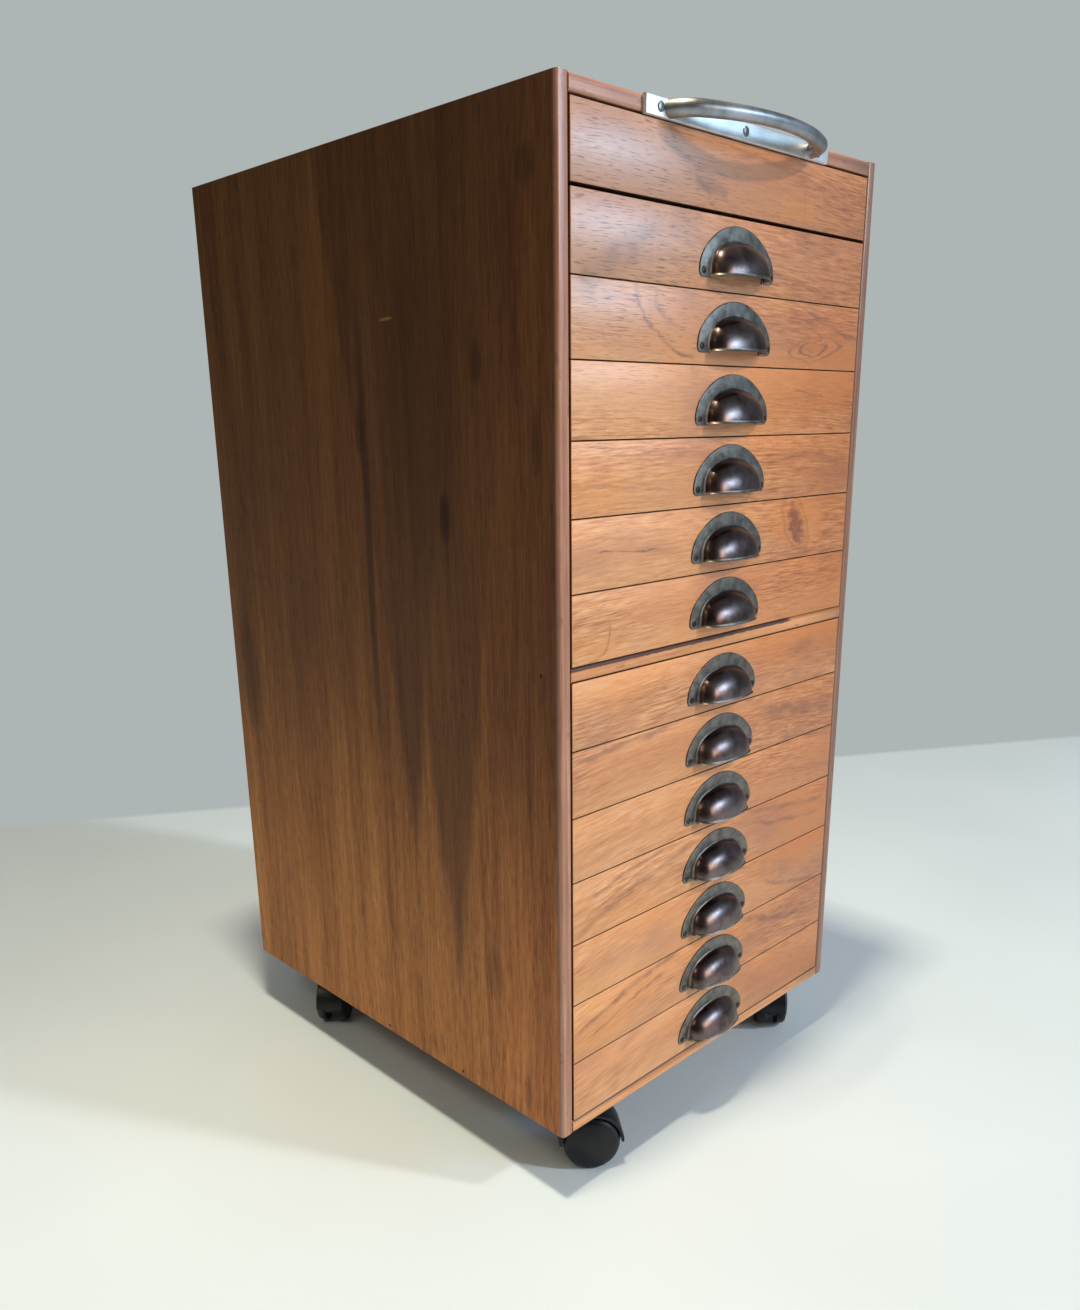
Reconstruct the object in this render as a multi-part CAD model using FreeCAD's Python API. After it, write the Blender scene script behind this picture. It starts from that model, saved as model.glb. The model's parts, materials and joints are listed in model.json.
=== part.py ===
import FreeCAD, Part
import math
import os

# Narrow cabinet of shallow drawers on four swivelling casters. Millimetres, +Z up, front towards -Y.
# Origin: on the floor, under the middle of the whole object's box.

Vector = FreeCAD.Vector
os.makedirs("parts", exist_ok=True)

# Case
CASE_WIDTH = 348.0
CASE_DEPTH = 420.0
CASE_HEIGHT = 690.0
BOARD = 10.0
BACK_THICKNESS = 6.0
BACK_REBATE = 5.0
SHELF_HOUSING = 3.0
LIPPING_DEPTH = 4.0
LIPPING_ROUND = 2.2

# Drawers
DRAWER_COUNT = 14
DRAWER_COUNT_ABOVE_SHELF = 7
FRONT_THICKNESS = 10.0
FRONT_GAP = 0.8
FRONT_SIDE_GAP = 1.0
BLANK_FRONT_GAP_ABOVE = 1.5
BLANK_FRONT_GAP_BELOW = 2.4
FRONT_LAP = 3.5
BOX_BOARD = 9.0
BOX_LENGTH = 400.0
BOX_BASE = 3.0
BOX_HEIGHT = 38.0
BOX_BACK_DROP = 3.0
BOTTOM_THICKNESS = 4.0
BOTTOM_RAISE = 3.0
BOTTOM_TONGUE = 4.0
RUNNER_HEIGHT = 6.0
RUNNER_THICKNESS = 5.0
RUNNER_MIDDLE = 22.0
RUNNER_SHORT_OF_BACK = 14.0
RUNNER_PLAY = 0.2
RUNNER_SIDE_PLAY = 0.5
CLOSED_STOP_PLAY = 0.3

# Cup pulls, measured from the pitch line under their front and from the front's face
PULL_SCREW_SPACING = 76.0
PULL_SCREW_Z = 12.1
FLANGE_CORNER = 4.2
FLANGE_RISE = 29.8
FLANGE_SIDE_RADIUS = 19.7
FLANGE_THICKNESS = 1.4
CUP_HALF_WIDTH = 30.3
CUP_LIP_Z = 8.9
CUP_SIDE_TOP = 13.3
CUP_RISE = 18.7
CUP_SIDE_RADIUS = 15.8
CUP_PROJECTION = 16.0
CUP_WALL = 1.4
CUP_BOXINESS = 0.35
CUP_END_DEPTH = 0.6
CUP_STATIONS = (0.0, 0.4, 0.76)
CUP_STEPS = 4
FLANGE_ARC_STEPS = 3
PULL_HEAD_RADIUS = 2.3
PULL_HEAD_DEPTH = 1.2
PULL_SHANK_RADIUS = 1.2
PULL_SHANK_LENGTH = 8.0

# Bow handle on the top board's edge
PLATE_LENGTH = 202.0
PLATE_HEIGHT = 11.0
PLATE_THICKNESS = 3.0
PLATE_SCREW_INSET = 13.5
PLATE_HEAD_RADIUS = 3.2
PLATE_HEAD_DEPTH = 1.8
PLATE_SHANK_RADIUS = 1.6
PLATE_SHANK_LENGTH = 20.0
BOW_SPAN = 157.0
BOW_FOOT_ANGLE = 75.0
BOW_BEND_RADIUS = 22.0
BOW_SHOULDER_ANGLE = 25.0
BOW_END_RADIUS = 5.4
BOW_MIDDLE_RADIUS = 4.4
BOW_RAISE = 0.1
BOW_FOOT_STUB = 3.0

# Casters
CASTER_HEIGHT = 54.0
WHEEL_RADIUS = 22.0
WHEELS_WIDTH = 34.0
WHEELS_GAP = 10.6
TREAD_WIDTH = 6.2
DOME_SHOULDER = (20.6, 14.6)
DOME_CROWN_RADIUS = 9.0
AXLE_RADIUS = 2.5
AXLE_PLAY = 0.05
AXLE_KEY_LENGTH = 6.5
WEB_WIDTH = 9.4
WEB_BOSS_RADIUS = 6.5
FENDER_CLEARANCE = 1.2
FENDER_THICKNESS = 2.2
FENDER_WIDTH = 25.0
SWIVEL_TRAIL = 13.0
SWIVEL_PIN_RADIUS = 3.0
SWIVEL_PIN_PLAY = 0.06
SWIVEL_PIN_END = 26.0
SWIVEL_BOSS_RADIUS = 8.0
SWIVEL_BOSS_PLAY = 0.3
CASTER_PLATE = 38.0
CASTER_PLATE_THICKNESS = 2.5
CASTER_PLATE_CORNER = 4.0
CASTER_SCREW_SPACING = 27.0
CASTER_HEAD_RADIUS = 3.0
CASTER_HEAD_HEIGHT = 1.8
CASTER_SHANK_RADIUS = 1.5
CASTER_SHANK_LENGTH = 9.0
CASTER_HOLE_PLAY = 0.3
CASTER_SIDE_INSET = 39.0
CASTER_FRONT_INSET = 28.0
CASTER_BACK_INSET = 71.0

# Steps that a full turn or an arc is cut into on small or repeated round pieces, kept few to keep it light
WHEEL_STEPS = 24
FENDER_STEPS = 28
BOSS_STEPS = 12
BAR_STEPS = 12
SCREW_STEPS = 8
AXLE_KEY_STEPS = 6
LIPPING_ROUND_STEPS = 3
FLAT_ENOUGH = 0.0001

# Each caster: side (-1 left, +1 right), end (front or back), and the way its wheels trail, in degrees
CASTERS = {
    "front_left": (-1, "front", -38.0),
    "front_right": (1, "front", 42.0),
    "back_left": (-1, "back", 222.0),
    "back_right": (1, "back", 160.0),
}

# The bow's middle arc and its reach follow from its span, its bends and the angles where they meet
foot = math.radians(BOW_FOOT_ANGLE)
shoulder = math.radians(BOW_SHOULDER_ANGLE)
bend_run = BOW_BEND_RADIUS * (math.sin(foot) - math.sin(shoulder))
bend_rise = BOW_BEND_RADIUS * (math.cos(shoulder) - math.cos(foot))
BOW_RADIUS = (BOW_SPAN / 2 - bend_run) / math.sin(shoulder)
BOW_RISE = bend_rise + BOW_RADIUS * (1 - math.cos(shoulder))
HANDLE_REACH = PLATE_THICKNESS + BOW_RISE + BOW_MIDDLE_RADIUS

# Planes that the pieces share
FRONT_Y = (HANDLE_REACH - CASE_DEPTH) / 2
BACK_Y = FRONT_Y + CASE_DEPTH
BASE_Z = CASTER_HEIGHT
TOP_Z = BASE_Z + CASE_HEIGHT
INNER_HALF = CASE_WIDTH / 2 - BOARD
PITCH = (CASE_HEIGHT - 3 * BOARD) / DRAWER_COUNT
SHELF_TOP_Z = TOP_Z - BOARD - DRAWER_COUNT_ABOVE_SHELF * PITCH
BOX_HALF = INNER_HALF - FRONT_SIDE_GAP
BOX_BACK_Y = FRONT_Y + BOX_LENGTH
RUNNER_FRONT_Y = FRONT_Y + FRONT_THICKNESS + CLOSED_STOP_PLAY
RUNNER_BACK_Y = BACK_Y - BACK_THICKNESS - RUNNER_SHORT_OF_BACK


def box(x0, x1, y0, y1, z0, z1):
    return Part.makeBox(x1 - x0, y1 - y0, z1 - z0, Vector(x0, y0, z0))


def save(node, *solids):
    shape = solids[0] if len(solids) == 1 else Part.makeCompound(list(solids))
    shape.exportStep("parts/" + node + ".step")


def closed_wire(points):
    return Part.makePolygon(list(points) + [points[0]])


def turn_points(centre, radius, start, end, steps, across, up):
    """Points on a circle from START to END degrees, counted from ACROSS towards UP."""
    points = []
    for step in range(steps + 1):
        angle = math.radians(start + (end - start) * step / steps)
        points.append(centre + across * (radius * math.cos(angle)) + up * (radius * math.sin(angle)))
    return points


def skinned(rings):
    """Solid with flat faces between RINGS of as many points each; a twisted span becomes two triangles."""
    faces = [Part.Face(closed_wire(rings[0])), Part.Face(closed_wire(rings[-1]))]
    for near, far in zip(rings, rings[1:]):
        for i in range(len(near)):
            j = (i + 1) % len(near)
            span = [near[i], near[j], far[j], far[i]]
            normal = (span[1] - span[0]).cross(span[2] - span[0])
            if abs(normal.normalize().dot(span[3] - span[0])) < FLAT_ENOUGH:
                faces.append(Part.Face(closed_wire(span)))
            else:
                faces += [Part.Face(closed_wire(span[:3])), Part.Face(closed_wire([span[0]] + span[2:]))]
    shell = Part.makeShell(faces)
    shell.sewShape()
    solid = Part.makeSolid(shell)
    if solid.Volume < 0:
        solid.reverse()
    return solid


def turned(profile, centre, axis, across, flats):
    """Solid about AXIS through CENTRE, with FLATS sides, from stations (radius, distance along the axis)."""
    up = axis.cross(across)
    return skinned([turn_points(centre + axis * along, radius, 0, 360, flats, across, up)[:-1]
                    for radius, along in profile])


def mirrored(shape):
    return shape.mirror(Vector(0, 0, 0), Vector(1, 0, 0))


def pitch_line(number):
    """Height of the line under drawer NUMBER's share of the front, counted from 1 at the top."""
    shelf = BOARD if number > DRAWER_COUNT_ABOVE_SHELF else 0
    return TOP_Z - BOARD - number * PITCH - shelf


# Case

def side_panel():
    """The right side: housed for the shelf, rebated for the back, its front edge lipped."""
    outer = CASE_WIDTH / 2
    panel = box(INNER_HALF, outer, FRONT_Y + LIPPING_DEPTH, BACK_Y, BASE_Z, TOP_Z)
    housing = box(INNER_HALF, INNER_HALF + SHELF_HOUSING, FRONT_Y, BACK_Y - BACK_THICKNESS,
                  SHELF_TOP_Z - BOARD, SHELF_TOP_Z)
    rebate = box(INNER_HALF, INNER_HALF + BACK_REBATE, BACK_Y - BACK_THICKNESS, BACK_Y, BASE_Z, TOP_Z)
    return panel.cut([housing, rebate])


def level_board(half_width, z0):
    return box(-half_width, half_width, FRONT_Y + LIPPING_DEPTH, BACK_Y - BACK_THICKNESS, z0, z0 + BOARD)


def lipping(start, end, across):
    """A strip BOARD wide from START to END, with both front arrises rounded."""
    inward = Vector(0, 1, 0)
    near = start + (across + inward) * LIPPING_ROUND
    far = near + across * (BOARD - 2 * LIPPING_ROUND)
    points = turn_points(near, LIPPING_ROUND, 180, 270, LIPPING_ROUND_STEPS, across, inward)
    points += turn_points(far, LIPPING_ROUND, 270, 360, LIPPING_ROUND_STEPS, across, inward)
    points += [start + across * BOARD + inward * LIPPING_DEPTH, start + inward * LIPPING_DEPTH]
    return Part.Face(closed_wire(points)).extrude(end - start)


def lippings():
    strips = []
    for x in (-CASE_WIDTH / 2, INNER_HALF):
        strips.append(lipping(Vector(x, FRONT_Y, BASE_Z), Vector(x, FRONT_Y, TOP_Z), Vector(1, 0, 0)))
    for z in (BASE_Z, SHELF_TOP_Z - BOARD, TOP_Z - BOARD):
        left, right = Vector(-INNER_HALF, FRONT_Y, z), Vector(INNER_HALF, FRONT_Y, z)
        strips.append(lipping(left, right, Vector(0, 0, 1)))
    return strips


def runner(number):
    """The right-hand strip that drawer NUMBER slides on."""
    middle = pitch_line(number) + RUNNER_MIDDLE
    return box(INNER_HALF - RUNNER_THICKNESS, INNER_HALF, RUNNER_FRONT_Y, RUNNER_BACK_Y,
               middle - RUNNER_HEIGHT / 2, middle + RUNNER_HEIGHT / 2)


def build_case():
    right = side_panel()
    save("side_panel_right", right)
    save("side_panel_left", mirrored(right))
    save("top_panel", level_board(INNER_HALF, TOP_Z - BOARD))
    save("bottom_panel", level_board(INNER_HALF, BASE_Z))
    save("middle_shelf", level_board(INNER_HALF + SHELF_HOUSING, SHELF_TOP_Z - BOARD))
    half_back = INNER_HALF + BACK_REBATE
    save("back_panel", box(-half_back, half_back, BACK_Y - BACK_THICKNESS, BACK_Y, BASE_Z, TOP_Z))
    save("front_lippings", *lippings())
    strips = [runner(number) for number in range(1, DRAWER_COUNT + 1)]
    save("drawer_runners", *strips, *[mirrored(strip) for strip in strips])


# Drawers

def front_board(number, low, high):
    """A front with laps for the box sides and a groove for the bottom in its back face."""
    line_z = pitch_line(number)
    front = box(-BOX_HALF, BOX_HALF, FRONT_Y, FRONT_Y + FRONT_THICKNESS, low, high)
    back_y = FRONT_Y + FRONT_THICKNESS
    side = box(BOX_HALF - BOX_BOARD, BOX_HALF, FRONT_Y + FRONT_LAP, back_y,
               line_z + BOX_BASE, line_z + BOX_BASE + BOX_HEIGHT)
    bottom = box(BOX_BOARD - BOX_HALF, BOX_HALF - BOX_BOARD, back_y - BOTTOM_TONGUE, back_y,
                 bottom_level(number), bottom_level(number) + BOTTOM_THICKNESS)
    return front.cut([side, mirrored(side), bottom])


def bottom_level(number):
    return pitch_line(number) + BOX_BASE + BOTTOM_RAISE


def box_side(number):
    """The right side: a stopped groove outside for the runner, a groove inside for the bottom."""
    line_z = pitch_line(number)
    side = box(BOX_HALF - BOX_BOARD, BOX_HALF, FRONT_Y + FRONT_LAP, BOX_BACK_Y,
               line_z + BOX_BASE, line_z + BOX_BASE + BOX_HEIGHT)
    half_slot = RUNNER_HEIGHT / 2 + RUNNER_PLAY
    slot = box(INNER_HALF - RUNNER_THICKNESS - RUNNER_SIDE_PLAY, BOX_HALF,
               FRONT_Y + FRONT_THICKNESS, BOX_BACK_Y,
               line_z + RUNNER_MIDDLE - half_slot, line_z + RUNNER_MIDDLE + half_slot)
    inner = BOX_HALF - BOX_BOARD
    groove = box(inner, inner + BOTTOM_TONGUE, FRONT_Y + FRONT_LAP, BOX_BACK_Y,
                 bottom_level(number), bottom_level(number) + BOTTOM_THICKNESS)
    return side.cut([slot, groove])


def drawer_box(number):
    line_z = pitch_line(number)
    inner = BOX_HALF - BOX_BOARD
    level = bottom_level(number)
    side = box_side(number)
    half_bottom = inner + BOTTOM_TONGUE
    bottom = box(-half_bottom, half_bottom, FRONT_Y + FRONT_THICKNESS - BOTTOM_TONGUE, BOX_BACK_Y,
                 level, level + BOTTOM_THICKNESS)
    back = box(-inner, inner, BOX_BACK_Y - BOX_BOARD, BOX_BACK_Y, level + BOTTOM_THICKNESS,
               line_z + BOX_BASE + BOX_HEIGHT - BOX_BACK_DROP)
    return side, mirrored(side), bottom, back


# Cup pulls

def arch_meet(half_width, rise, side_radius):
    """Three-centred arch: the drop of its middle arc's centre, that arc's radius and its half span."""
    side = half_width - side_radius
    drop = (side ** 2 - (rise - side_radius) ** 2) / (2 * (rise - side_radius))
    radius = rise + drop
    return drop, radius, radius * side / math.hypot(side, drop)


def arch_top(x, half_width, spring, rise, side_radius):
    """Height of the arch over x."""
    drop, radius, meet = arch_meet(half_width, rise, side_radius)
    if abs(x) <= meet:
        return spring - drop + math.sqrt(radius ** 2 - x ** 2)
    inward = abs(x) - (half_width - side_radius)
    return spring + math.sqrt(max(side_radius ** 2 - inward ** 2, 0))


def flange():
    """Half-moon plate behind the cup, rounded about the screws at its lower corners."""
    screw_x = PULL_SCREW_SPACING / 2
    half = screw_x + FLANGE_CORNER
    drop, radius, meet = arch_meet(half, FLANGE_RISE, FLANGE_SIDE_RADIUS)
    lean = math.degrees(math.asin(meet / radius))
    across, up = Vector(1, 0, 0), Vector(0, 0, 1)
    face_y = -FLANGE_THICKNESS
    corner = Vector(screw_x, face_y, PULL_SCREW_Z)
    side = Vector(half - FLANGE_SIDE_RADIUS, face_y, PULL_SCREW_Z)
    top = Vector(0, face_y, PULL_SCREW_Z - drop)
    right = turn_points(corner, FLANGE_CORNER, -90, 0, FLANGE_ARC_STEPS, across, up)
    right += turn_points(side, FLANGE_SIDE_RADIUS, 0, 90 - lean, FLANGE_ARC_STEPS, across, up)[1:]
    right += turn_points(top, radius, 90 - lean, 90, FLANGE_ARC_STEPS, across, up)[1:]
    left = [Vector(-p.x, p.y, p.z) for p in reversed(right[:-1])]
    return Part.Face(closed_wire(right + left)).extrude(Vector(0, FLANGE_THICKNESS, 0))


def cup_section(x, half_width, projection, top_inset, low, back):
    """Upright section of the cup at x: from BACK down to LOW, out to the lip and up its elliptic back."""
    share = min(abs(x) / half_width, 1)
    depth = max(projection * (1 - share ** 2) ** CUP_BOXINESS, CUP_END_DEPTH)
    over = share * CUP_HALF_WIDTH
    top = arch_top(over, CUP_HALF_WIDTH, CUP_SIDE_TOP, CUP_RISE, CUP_SIDE_RADIUS) - top_inset
    points = []
    if back > 0:
        points += [Vector(x, back, top), Vector(x, back, low)]
    else:
        points += [Vector(x, back, low)]
    if low < CUP_LIP_Z:
        points.append(Vector(x, -depth, low))
    for step in range(CUP_STEPS + 1):
        angle = math.radians(90 * step / CUP_STEPS)
        points.append(Vector(x, -depth * math.cos(angle), CUP_LIP_Z + (top - CUP_LIP_Z) * math.sin(angle)))
    return points


def cup_body(half_width, projection, top_inset, low, back):
    shares = [-1.0] + [-s for s in reversed(CUP_STATIONS[1:])] + list(CUP_STATIONS) + [1.0]
    return skinned([cup_section(share * half_width, half_width, projection, top_inset, low, back)
                    for share in shares])


def countersunk_screw(head_radius, head_depth, shank_radius, length):
    """A screw with its head's face at the origin, pointing along +Y."""
    profile = [(head_radius, 0), (shank_radius, head_depth), (shank_radius, length)]
    return turned(profile, Vector(0, 0, 0), Vector(0, 1, 0), Vector(1, 0, 0), SCREW_STEPS)


def cup_pull():
    """Cup, flange and two screws, on the front's face at y 0 with the pitch line at z 0."""
    shell = cup_body(CUP_HALF_WIDTH, CUP_PROJECTION, 0, CUP_LIP_Z, 0)
    hollow = cup_body(CUP_HALF_WIDTH - CUP_WALL, CUP_PROJECTION - CUP_WALL, CUP_WALL, 0, 1)
    screws = []
    for x in (-PULL_SCREW_SPACING / 2, PULL_SCREW_SPACING / 2):
        screw = countersunk_screw(PULL_HEAD_RADIUS, PULL_HEAD_DEPTH, PULL_SHANK_RADIUS, PULL_SHANK_LENGTH)
        screws.append(screw.translated(Vector(x, -FLANGE_THICKNESS, PULL_SCREW_Z)))
    cup = flange().fuse(shell).cut([hollow] + screws).removeSplitter()
    return cup, screws[0], screws[1]


def build_drawers():
    pull = cup_pull()
    for number in range(1, DRAWER_COUNT + 1):
        name = "drawer_%02d_" % number
        low = pitch_line(number) + FRONT_GAP / 2
        high = low + PITCH - FRONT_GAP
        if number == 1:
            low = low - FRONT_GAP + BLANK_FRONT_GAP_BELOW
            high = TOP_Z - BOARD - BLANK_FRONT_GAP_ABOVE
        save(name + "front", front_board(number, low, high))
        save(name + "box", *drawer_box(number))
        if number > 1:
            place = Vector(0, FRONT_Y, pitch_line(number))
            save(name + "pull", *[solid.translated(place) for solid in pull])


# Bow handle

def bow_path():
    """Stations along the bow in plan from its middle: run, rise and heading, a third of each arc apart."""
    stations = []
    for step in range(4):
        angle = shoulder * step / 3
        drop = BOW_RADIUS * (1 - math.cos(angle))
        stations.append((BOW_RADIUS * math.sin(angle), BOW_RISE - drop, angle))
    run, rise = BOW_RADIUS * math.sin(shoulder), bend_rise
    for step in range(1, 4):
        angle = shoulder + (foot - shoulder) * step / 3
        across = BOW_BEND_RADIUS * (math.sin(angle) - math.sin(shoulder))
        drop = BOW_BEND_RADIUS * (math.cos(shoulder) - math.cos(angle))
        stations.append((run + across, rise - drop, angle))
    end_run, end_rise, angle = stations[-1]
    end_run += BOW_FOOT_STUB * math.cos(angle)
    end_rise -= BOW_FOOT_STUB * math.sin(angle)
    stations.append((end_run, end_rise, angle))
    return stations


def bow():
    """Round bar, thinner in the middle, cut off flat where its feet stand on the plate."""
    plate_y = FRONT_Y - PLATE_THICKNESS
    middle_z = TOP_Z - PLATE_HEIGHT / 2 + BOW_RAISE
    stations = bow_path()
    rings = []
    for run, rise, angle in [(-r, h, -a) for r, h, a in reversed(stations[1:])] + stations:
        share = min(abs(run) / (BOW_SPAN / 2), 1)
        radius = BOW_MIDDLE_RADIUS + (BOW_END_RADIUS - BOW_MIDDLE_RADIUS) * share ** 2
        heading = Vector(math.cos(angle), math.sin(angle), 0)
        centre = Vector(run, plate_y - rise, middle_z)
        across = Vector(-heading.y, heading.x, 0)
        rings.append(turn_points(centre, radius, 0, 360, BAR_STEPS, across, Vector(0, 0, 1))[:-1])
    bar = skinned(rings)
    behind = box(-CASE_WIDTH, CASE_WIDTH, plate_y, plate_y + 4 * BOW_END_RADIUS,
                 TOP_Z - CASE_WIDTH, TOP_Z + CASE_WIDTH)
    return bar.cut(behind)


def handle_screws():
    span = PLATE_LENGTH / 2 - PLATE_SCREW_INSET
    screw = countersunk_screw(PLATE_HEAD_RADIUS, PLATE_HEAD_DEPTH, PLATE_SHANK_RADIUS, PLATE_SHANK_LENGTH)
    face_y, middle_z = FRONT_Y - PLATE_THICKNESS, TOP_Z - PLATE_HEIGHT / 2
    return [screw.translated(Vector(x, face_y, middle_z)) for x in (-span, 0, span)]


def build_handle():
    half = PLATE_LENGTH / 2
    plate = box(-half, half, FRONT_Y - PLATE_THICKNESS, FRONT_Y, TOP_Z - PLATE_HEIGHT, TOP_Z)
    save("handle", plate.cut(handle_screws()), bow())


# Casters, each built about its swivel axis on the floor with its wheels trailing towards +X

def stem_place(side, end):
    x = side * (CASE_WIDTH / 2 - CASTER_SIDE_INSET)
    y = FRONT_Y + CASTER_FRONT_INSET if end == "front" else BACK_Y - CASTER_BACK_INSET
    return Vector(x, y, 0)


def round_across(radius, width, middle):
    """A true cylinder on the axle's line, WIDTH wide about MIDDLE."""
    end = Vector(SWIVEL_TRAIL, middle - width / 2, WHEEL_RADIUS)
    return Part.makeCylinder(radius, width, end, Vector(0, 1, 0))


def flats_across(radius, flats, y0, y1):
    """The same with flats, from y0 to y1."""
    centre = Vector(SWIVEL_TRAIL, 0, WHEEL_RADIUS)
    return turned([(radius, y0), (radius, y1)], centre, Vector(0, 1, 0), Vector(1, 0, 0), flats)


def half_round(radius, width):
    """Upper half of a disc about the axle, with the fender's flats."""
    centre = Vector(SWIVEL_TRAIL, -width / 2, WHEEL_RADIUS)
    points = turn_points(centre, radius, 0, 180, FENDER_STEPS // 2, Vector(1, 0, 0), Vector(0, 0, 1))
    return Part.Face(closed_wire(points)).extrude(Vector(0, width, 0))


def hood():
    """Web between the wheels, fender over them and the boss that turns on the swivel pin."""
    inner = WHEEL_RADIUS + FENDER_CLEARANCE
    outer = inner + FENDER_THICKNESS
    boss_top = CASTER_HEIGHT - CASTER_PLATE_THICKNESS - SWIVEL_BOSS_PLAY
    boss = turned([(SWIVEL_BOSS_RADIUS, WHEEL_RADIUS), (SWIVEL_BOSS_RADIUS, boss_top)], Vector(0, 0, 0),
                  Vector(0, 0, 1), Vector(1, 0, 0), BOSS_STEPS)
    cover = half_round(outer, FENDER_WIDTH).fuse(boss).cut(half_round(inner, 2 * FENDER_WIDTH))
    half_web = WEB_WIDTH / 2
    web = half_round(inner, WEB_WIDTH).fuse(flats_across(WEB_BOSS_RADIUS, BOSS_STEPS, -half_web, half_web))
    pin_bore = Part.makeCylinder(SWIVEL_PIN_RADIUS + SWIVEL_PIN_PLAY, CASTER_HEIGHT, Vector(0, 0, 0))
    axle_bore = round_across(AXLE_RADIUS + AXLE_PLAY, 2 * WEB_WIDTH, 0)
    return cover.fuse(web).cut([pin_bore, axle_bore]).removeSplitter()


def wheel():
    """Domed wheel on the +Y side of the web, with a blind keyed hole for the axle's end."""
    inner = WHEELS_GAP / 2
    profile = [(WHEEL_RADIUS, inner), (WHEEL_RADIUS, inner + TREAD_WIDTH), DOME_SHOULDER,
               (DOME_CROWN_RADIUS, WHEELS_WIDTH / 2)]
    centre = Vector(SWIVEL_TRAIL, 0, WHEEL_RADIUS)
    disc = turned(profile, centre, Vector(0, 1, 0), Vector(1, 0, 0), WHEEL_STEPS)
    return disc.cut(flats_across(AXLE_RADIUS, AXLE_KEY_STEPS, 0, inner + AXLE_KEY_LENGTH))


def wheel_set():
    """Two wheels pressed on the keyed ends of one axle."""
    right = wheel()
    left = right.mirror(Vector(0, 0, 0), Vector(0, 1, 0))
    inner = WHEELS_GAP / 2
    keys = flats_across(AXLE_RADIUS, AXLE_KEY_STEPS, -inner - AXLE_KEY_LENGTH, inner + AXLE_KEY_LENGTH)
    axle = keys.fuse(round_across(AXLE_RADIUS, WHEELS_GAP, 0)).removeSplitter()
    return right, left, axle


def caster_screw_places():
    half = CASTER_SCREW_SPACING / 2
    return [(x, y) for x in (-half, half) for y in (-half, half)]


def caster_screws():
    """The four screws of one caster's plate, heads under the plate."""
    plate_z = CASTER_HEIGHT - CASTER_PLATE_THICKNESS
    dome = [(CASTER_HEAD_RADIUS, -CASTER_HEAD_HEIGHT), (CASTER_HEAD_RADIUS, 0)]
    shank = [(CASTER_SHANK_RADIUS, 0), (CASTER_SHANK_RADIUS, CASTER_SHANK_LENGTH)]
    screws = []
    for x, y in caster_screw_places():
        place = Vector(x, y, plate_z)
        head, pin = [turned(outline, place, Vector(0, 0, 1), Vector(1, 0, 0), SCREW_STEPS)
                     for outline in (dome, shank)]
        screws.append(head.fuse(pin))
    return screws


def caster_plate():
    """Square plate under the case, and the swivel pin riveted in it."""
    half = CASTER_PLATE / 2
    plate_z = CASTER_HEIGHT - CASTER_PLATE_THICKNESS
    plate = box(-half, half, -half, half, plate_z, CASTER_HEIGHT)
    upright = [e for e in plate.Edges if abs(e.Length - CASTER_PLATE_THICKNESS) < 0.01]
    plate = plate.makeChamfer(min(CASTER_PLATE_CORNER, half * 0.9), upright)
    hole_radius = CASTER_SHANK_RADIUS + CASTER_HOLE_PLAY
    bore = [(hole_radius, 0), (hole_radius, CASTER_PLATE_THICKNESS)]
    holes = [turned(bore, Vector(x, y, plate_z), Vector(0, 0, 1), Vector(1, 0, 0), SCREW_STEPS)
             for x, y in caster_screw_places()]
    pin = Part.makeCylinder(SWIVEL_PIN_RADIUS, plate_z - SWIVEL_PIN_END, Vector(0, 0, SWIVEL_PIN_END))
    return plate.cut(holes), pin


def build_casters():
    plates = []
    screws = handle_screws()
    caster_hood, wheels = hood(), wheel_set()
    for name, (side, end, trail) in CASTERS.items():
        stem = stem_place(side, end)
        plates += [solid.translated(stem) for solid in caster_plate()]
        screws += [solid.translated(stem) for solid in caster_screws()]
        turn = FreeCAD.Placement(stem, FreeCAD.Rotation(Vector(0, 0, 1), trail))
        save("caster_" + name + "_hood", caster_hood.transformed(turn.toMatrix()))
        save("caster_" + name + "_wheels", *[solid.transformed(turn.toMatrix()) for solid in wheels])
    save("caster_plates", *plates)
    save("case_screws", *screws)


build_case()
build_drawers()
build_handle()
build_casters()
print("case front at y %.2f, pitch %.3f, bow rises %.2f" % (FRONT_Y, PITCH, BOW_RISE))
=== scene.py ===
import json
import math

import bmesh
import bpy
from mathutils import Matrix, Vector


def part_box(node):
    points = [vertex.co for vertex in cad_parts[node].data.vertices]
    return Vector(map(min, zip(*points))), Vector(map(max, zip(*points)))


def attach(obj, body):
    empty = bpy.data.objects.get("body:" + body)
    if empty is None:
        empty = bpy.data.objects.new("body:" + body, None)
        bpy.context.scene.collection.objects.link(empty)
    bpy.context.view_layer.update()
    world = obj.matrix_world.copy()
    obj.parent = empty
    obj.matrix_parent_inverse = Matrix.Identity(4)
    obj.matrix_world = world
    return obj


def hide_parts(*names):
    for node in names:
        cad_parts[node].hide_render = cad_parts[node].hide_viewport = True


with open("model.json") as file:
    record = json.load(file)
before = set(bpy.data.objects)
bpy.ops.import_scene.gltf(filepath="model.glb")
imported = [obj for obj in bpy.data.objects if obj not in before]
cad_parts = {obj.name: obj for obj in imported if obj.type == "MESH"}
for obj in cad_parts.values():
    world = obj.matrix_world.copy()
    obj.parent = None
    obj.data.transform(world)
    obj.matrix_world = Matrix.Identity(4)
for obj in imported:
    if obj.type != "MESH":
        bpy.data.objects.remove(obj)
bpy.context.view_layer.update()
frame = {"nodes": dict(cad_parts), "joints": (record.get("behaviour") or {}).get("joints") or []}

MM = 0.001
X, Y, Z = Vector((1, 0, 0)), Vector((0, 1, 0)), Vector((0, 0, 1))
QUARTER = math.radians(90)
LAID_ALONG_Y = (QUARTER, 0, 0)
WELD = 0.01 * MM
NEAR = 0.1 * MM

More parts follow.
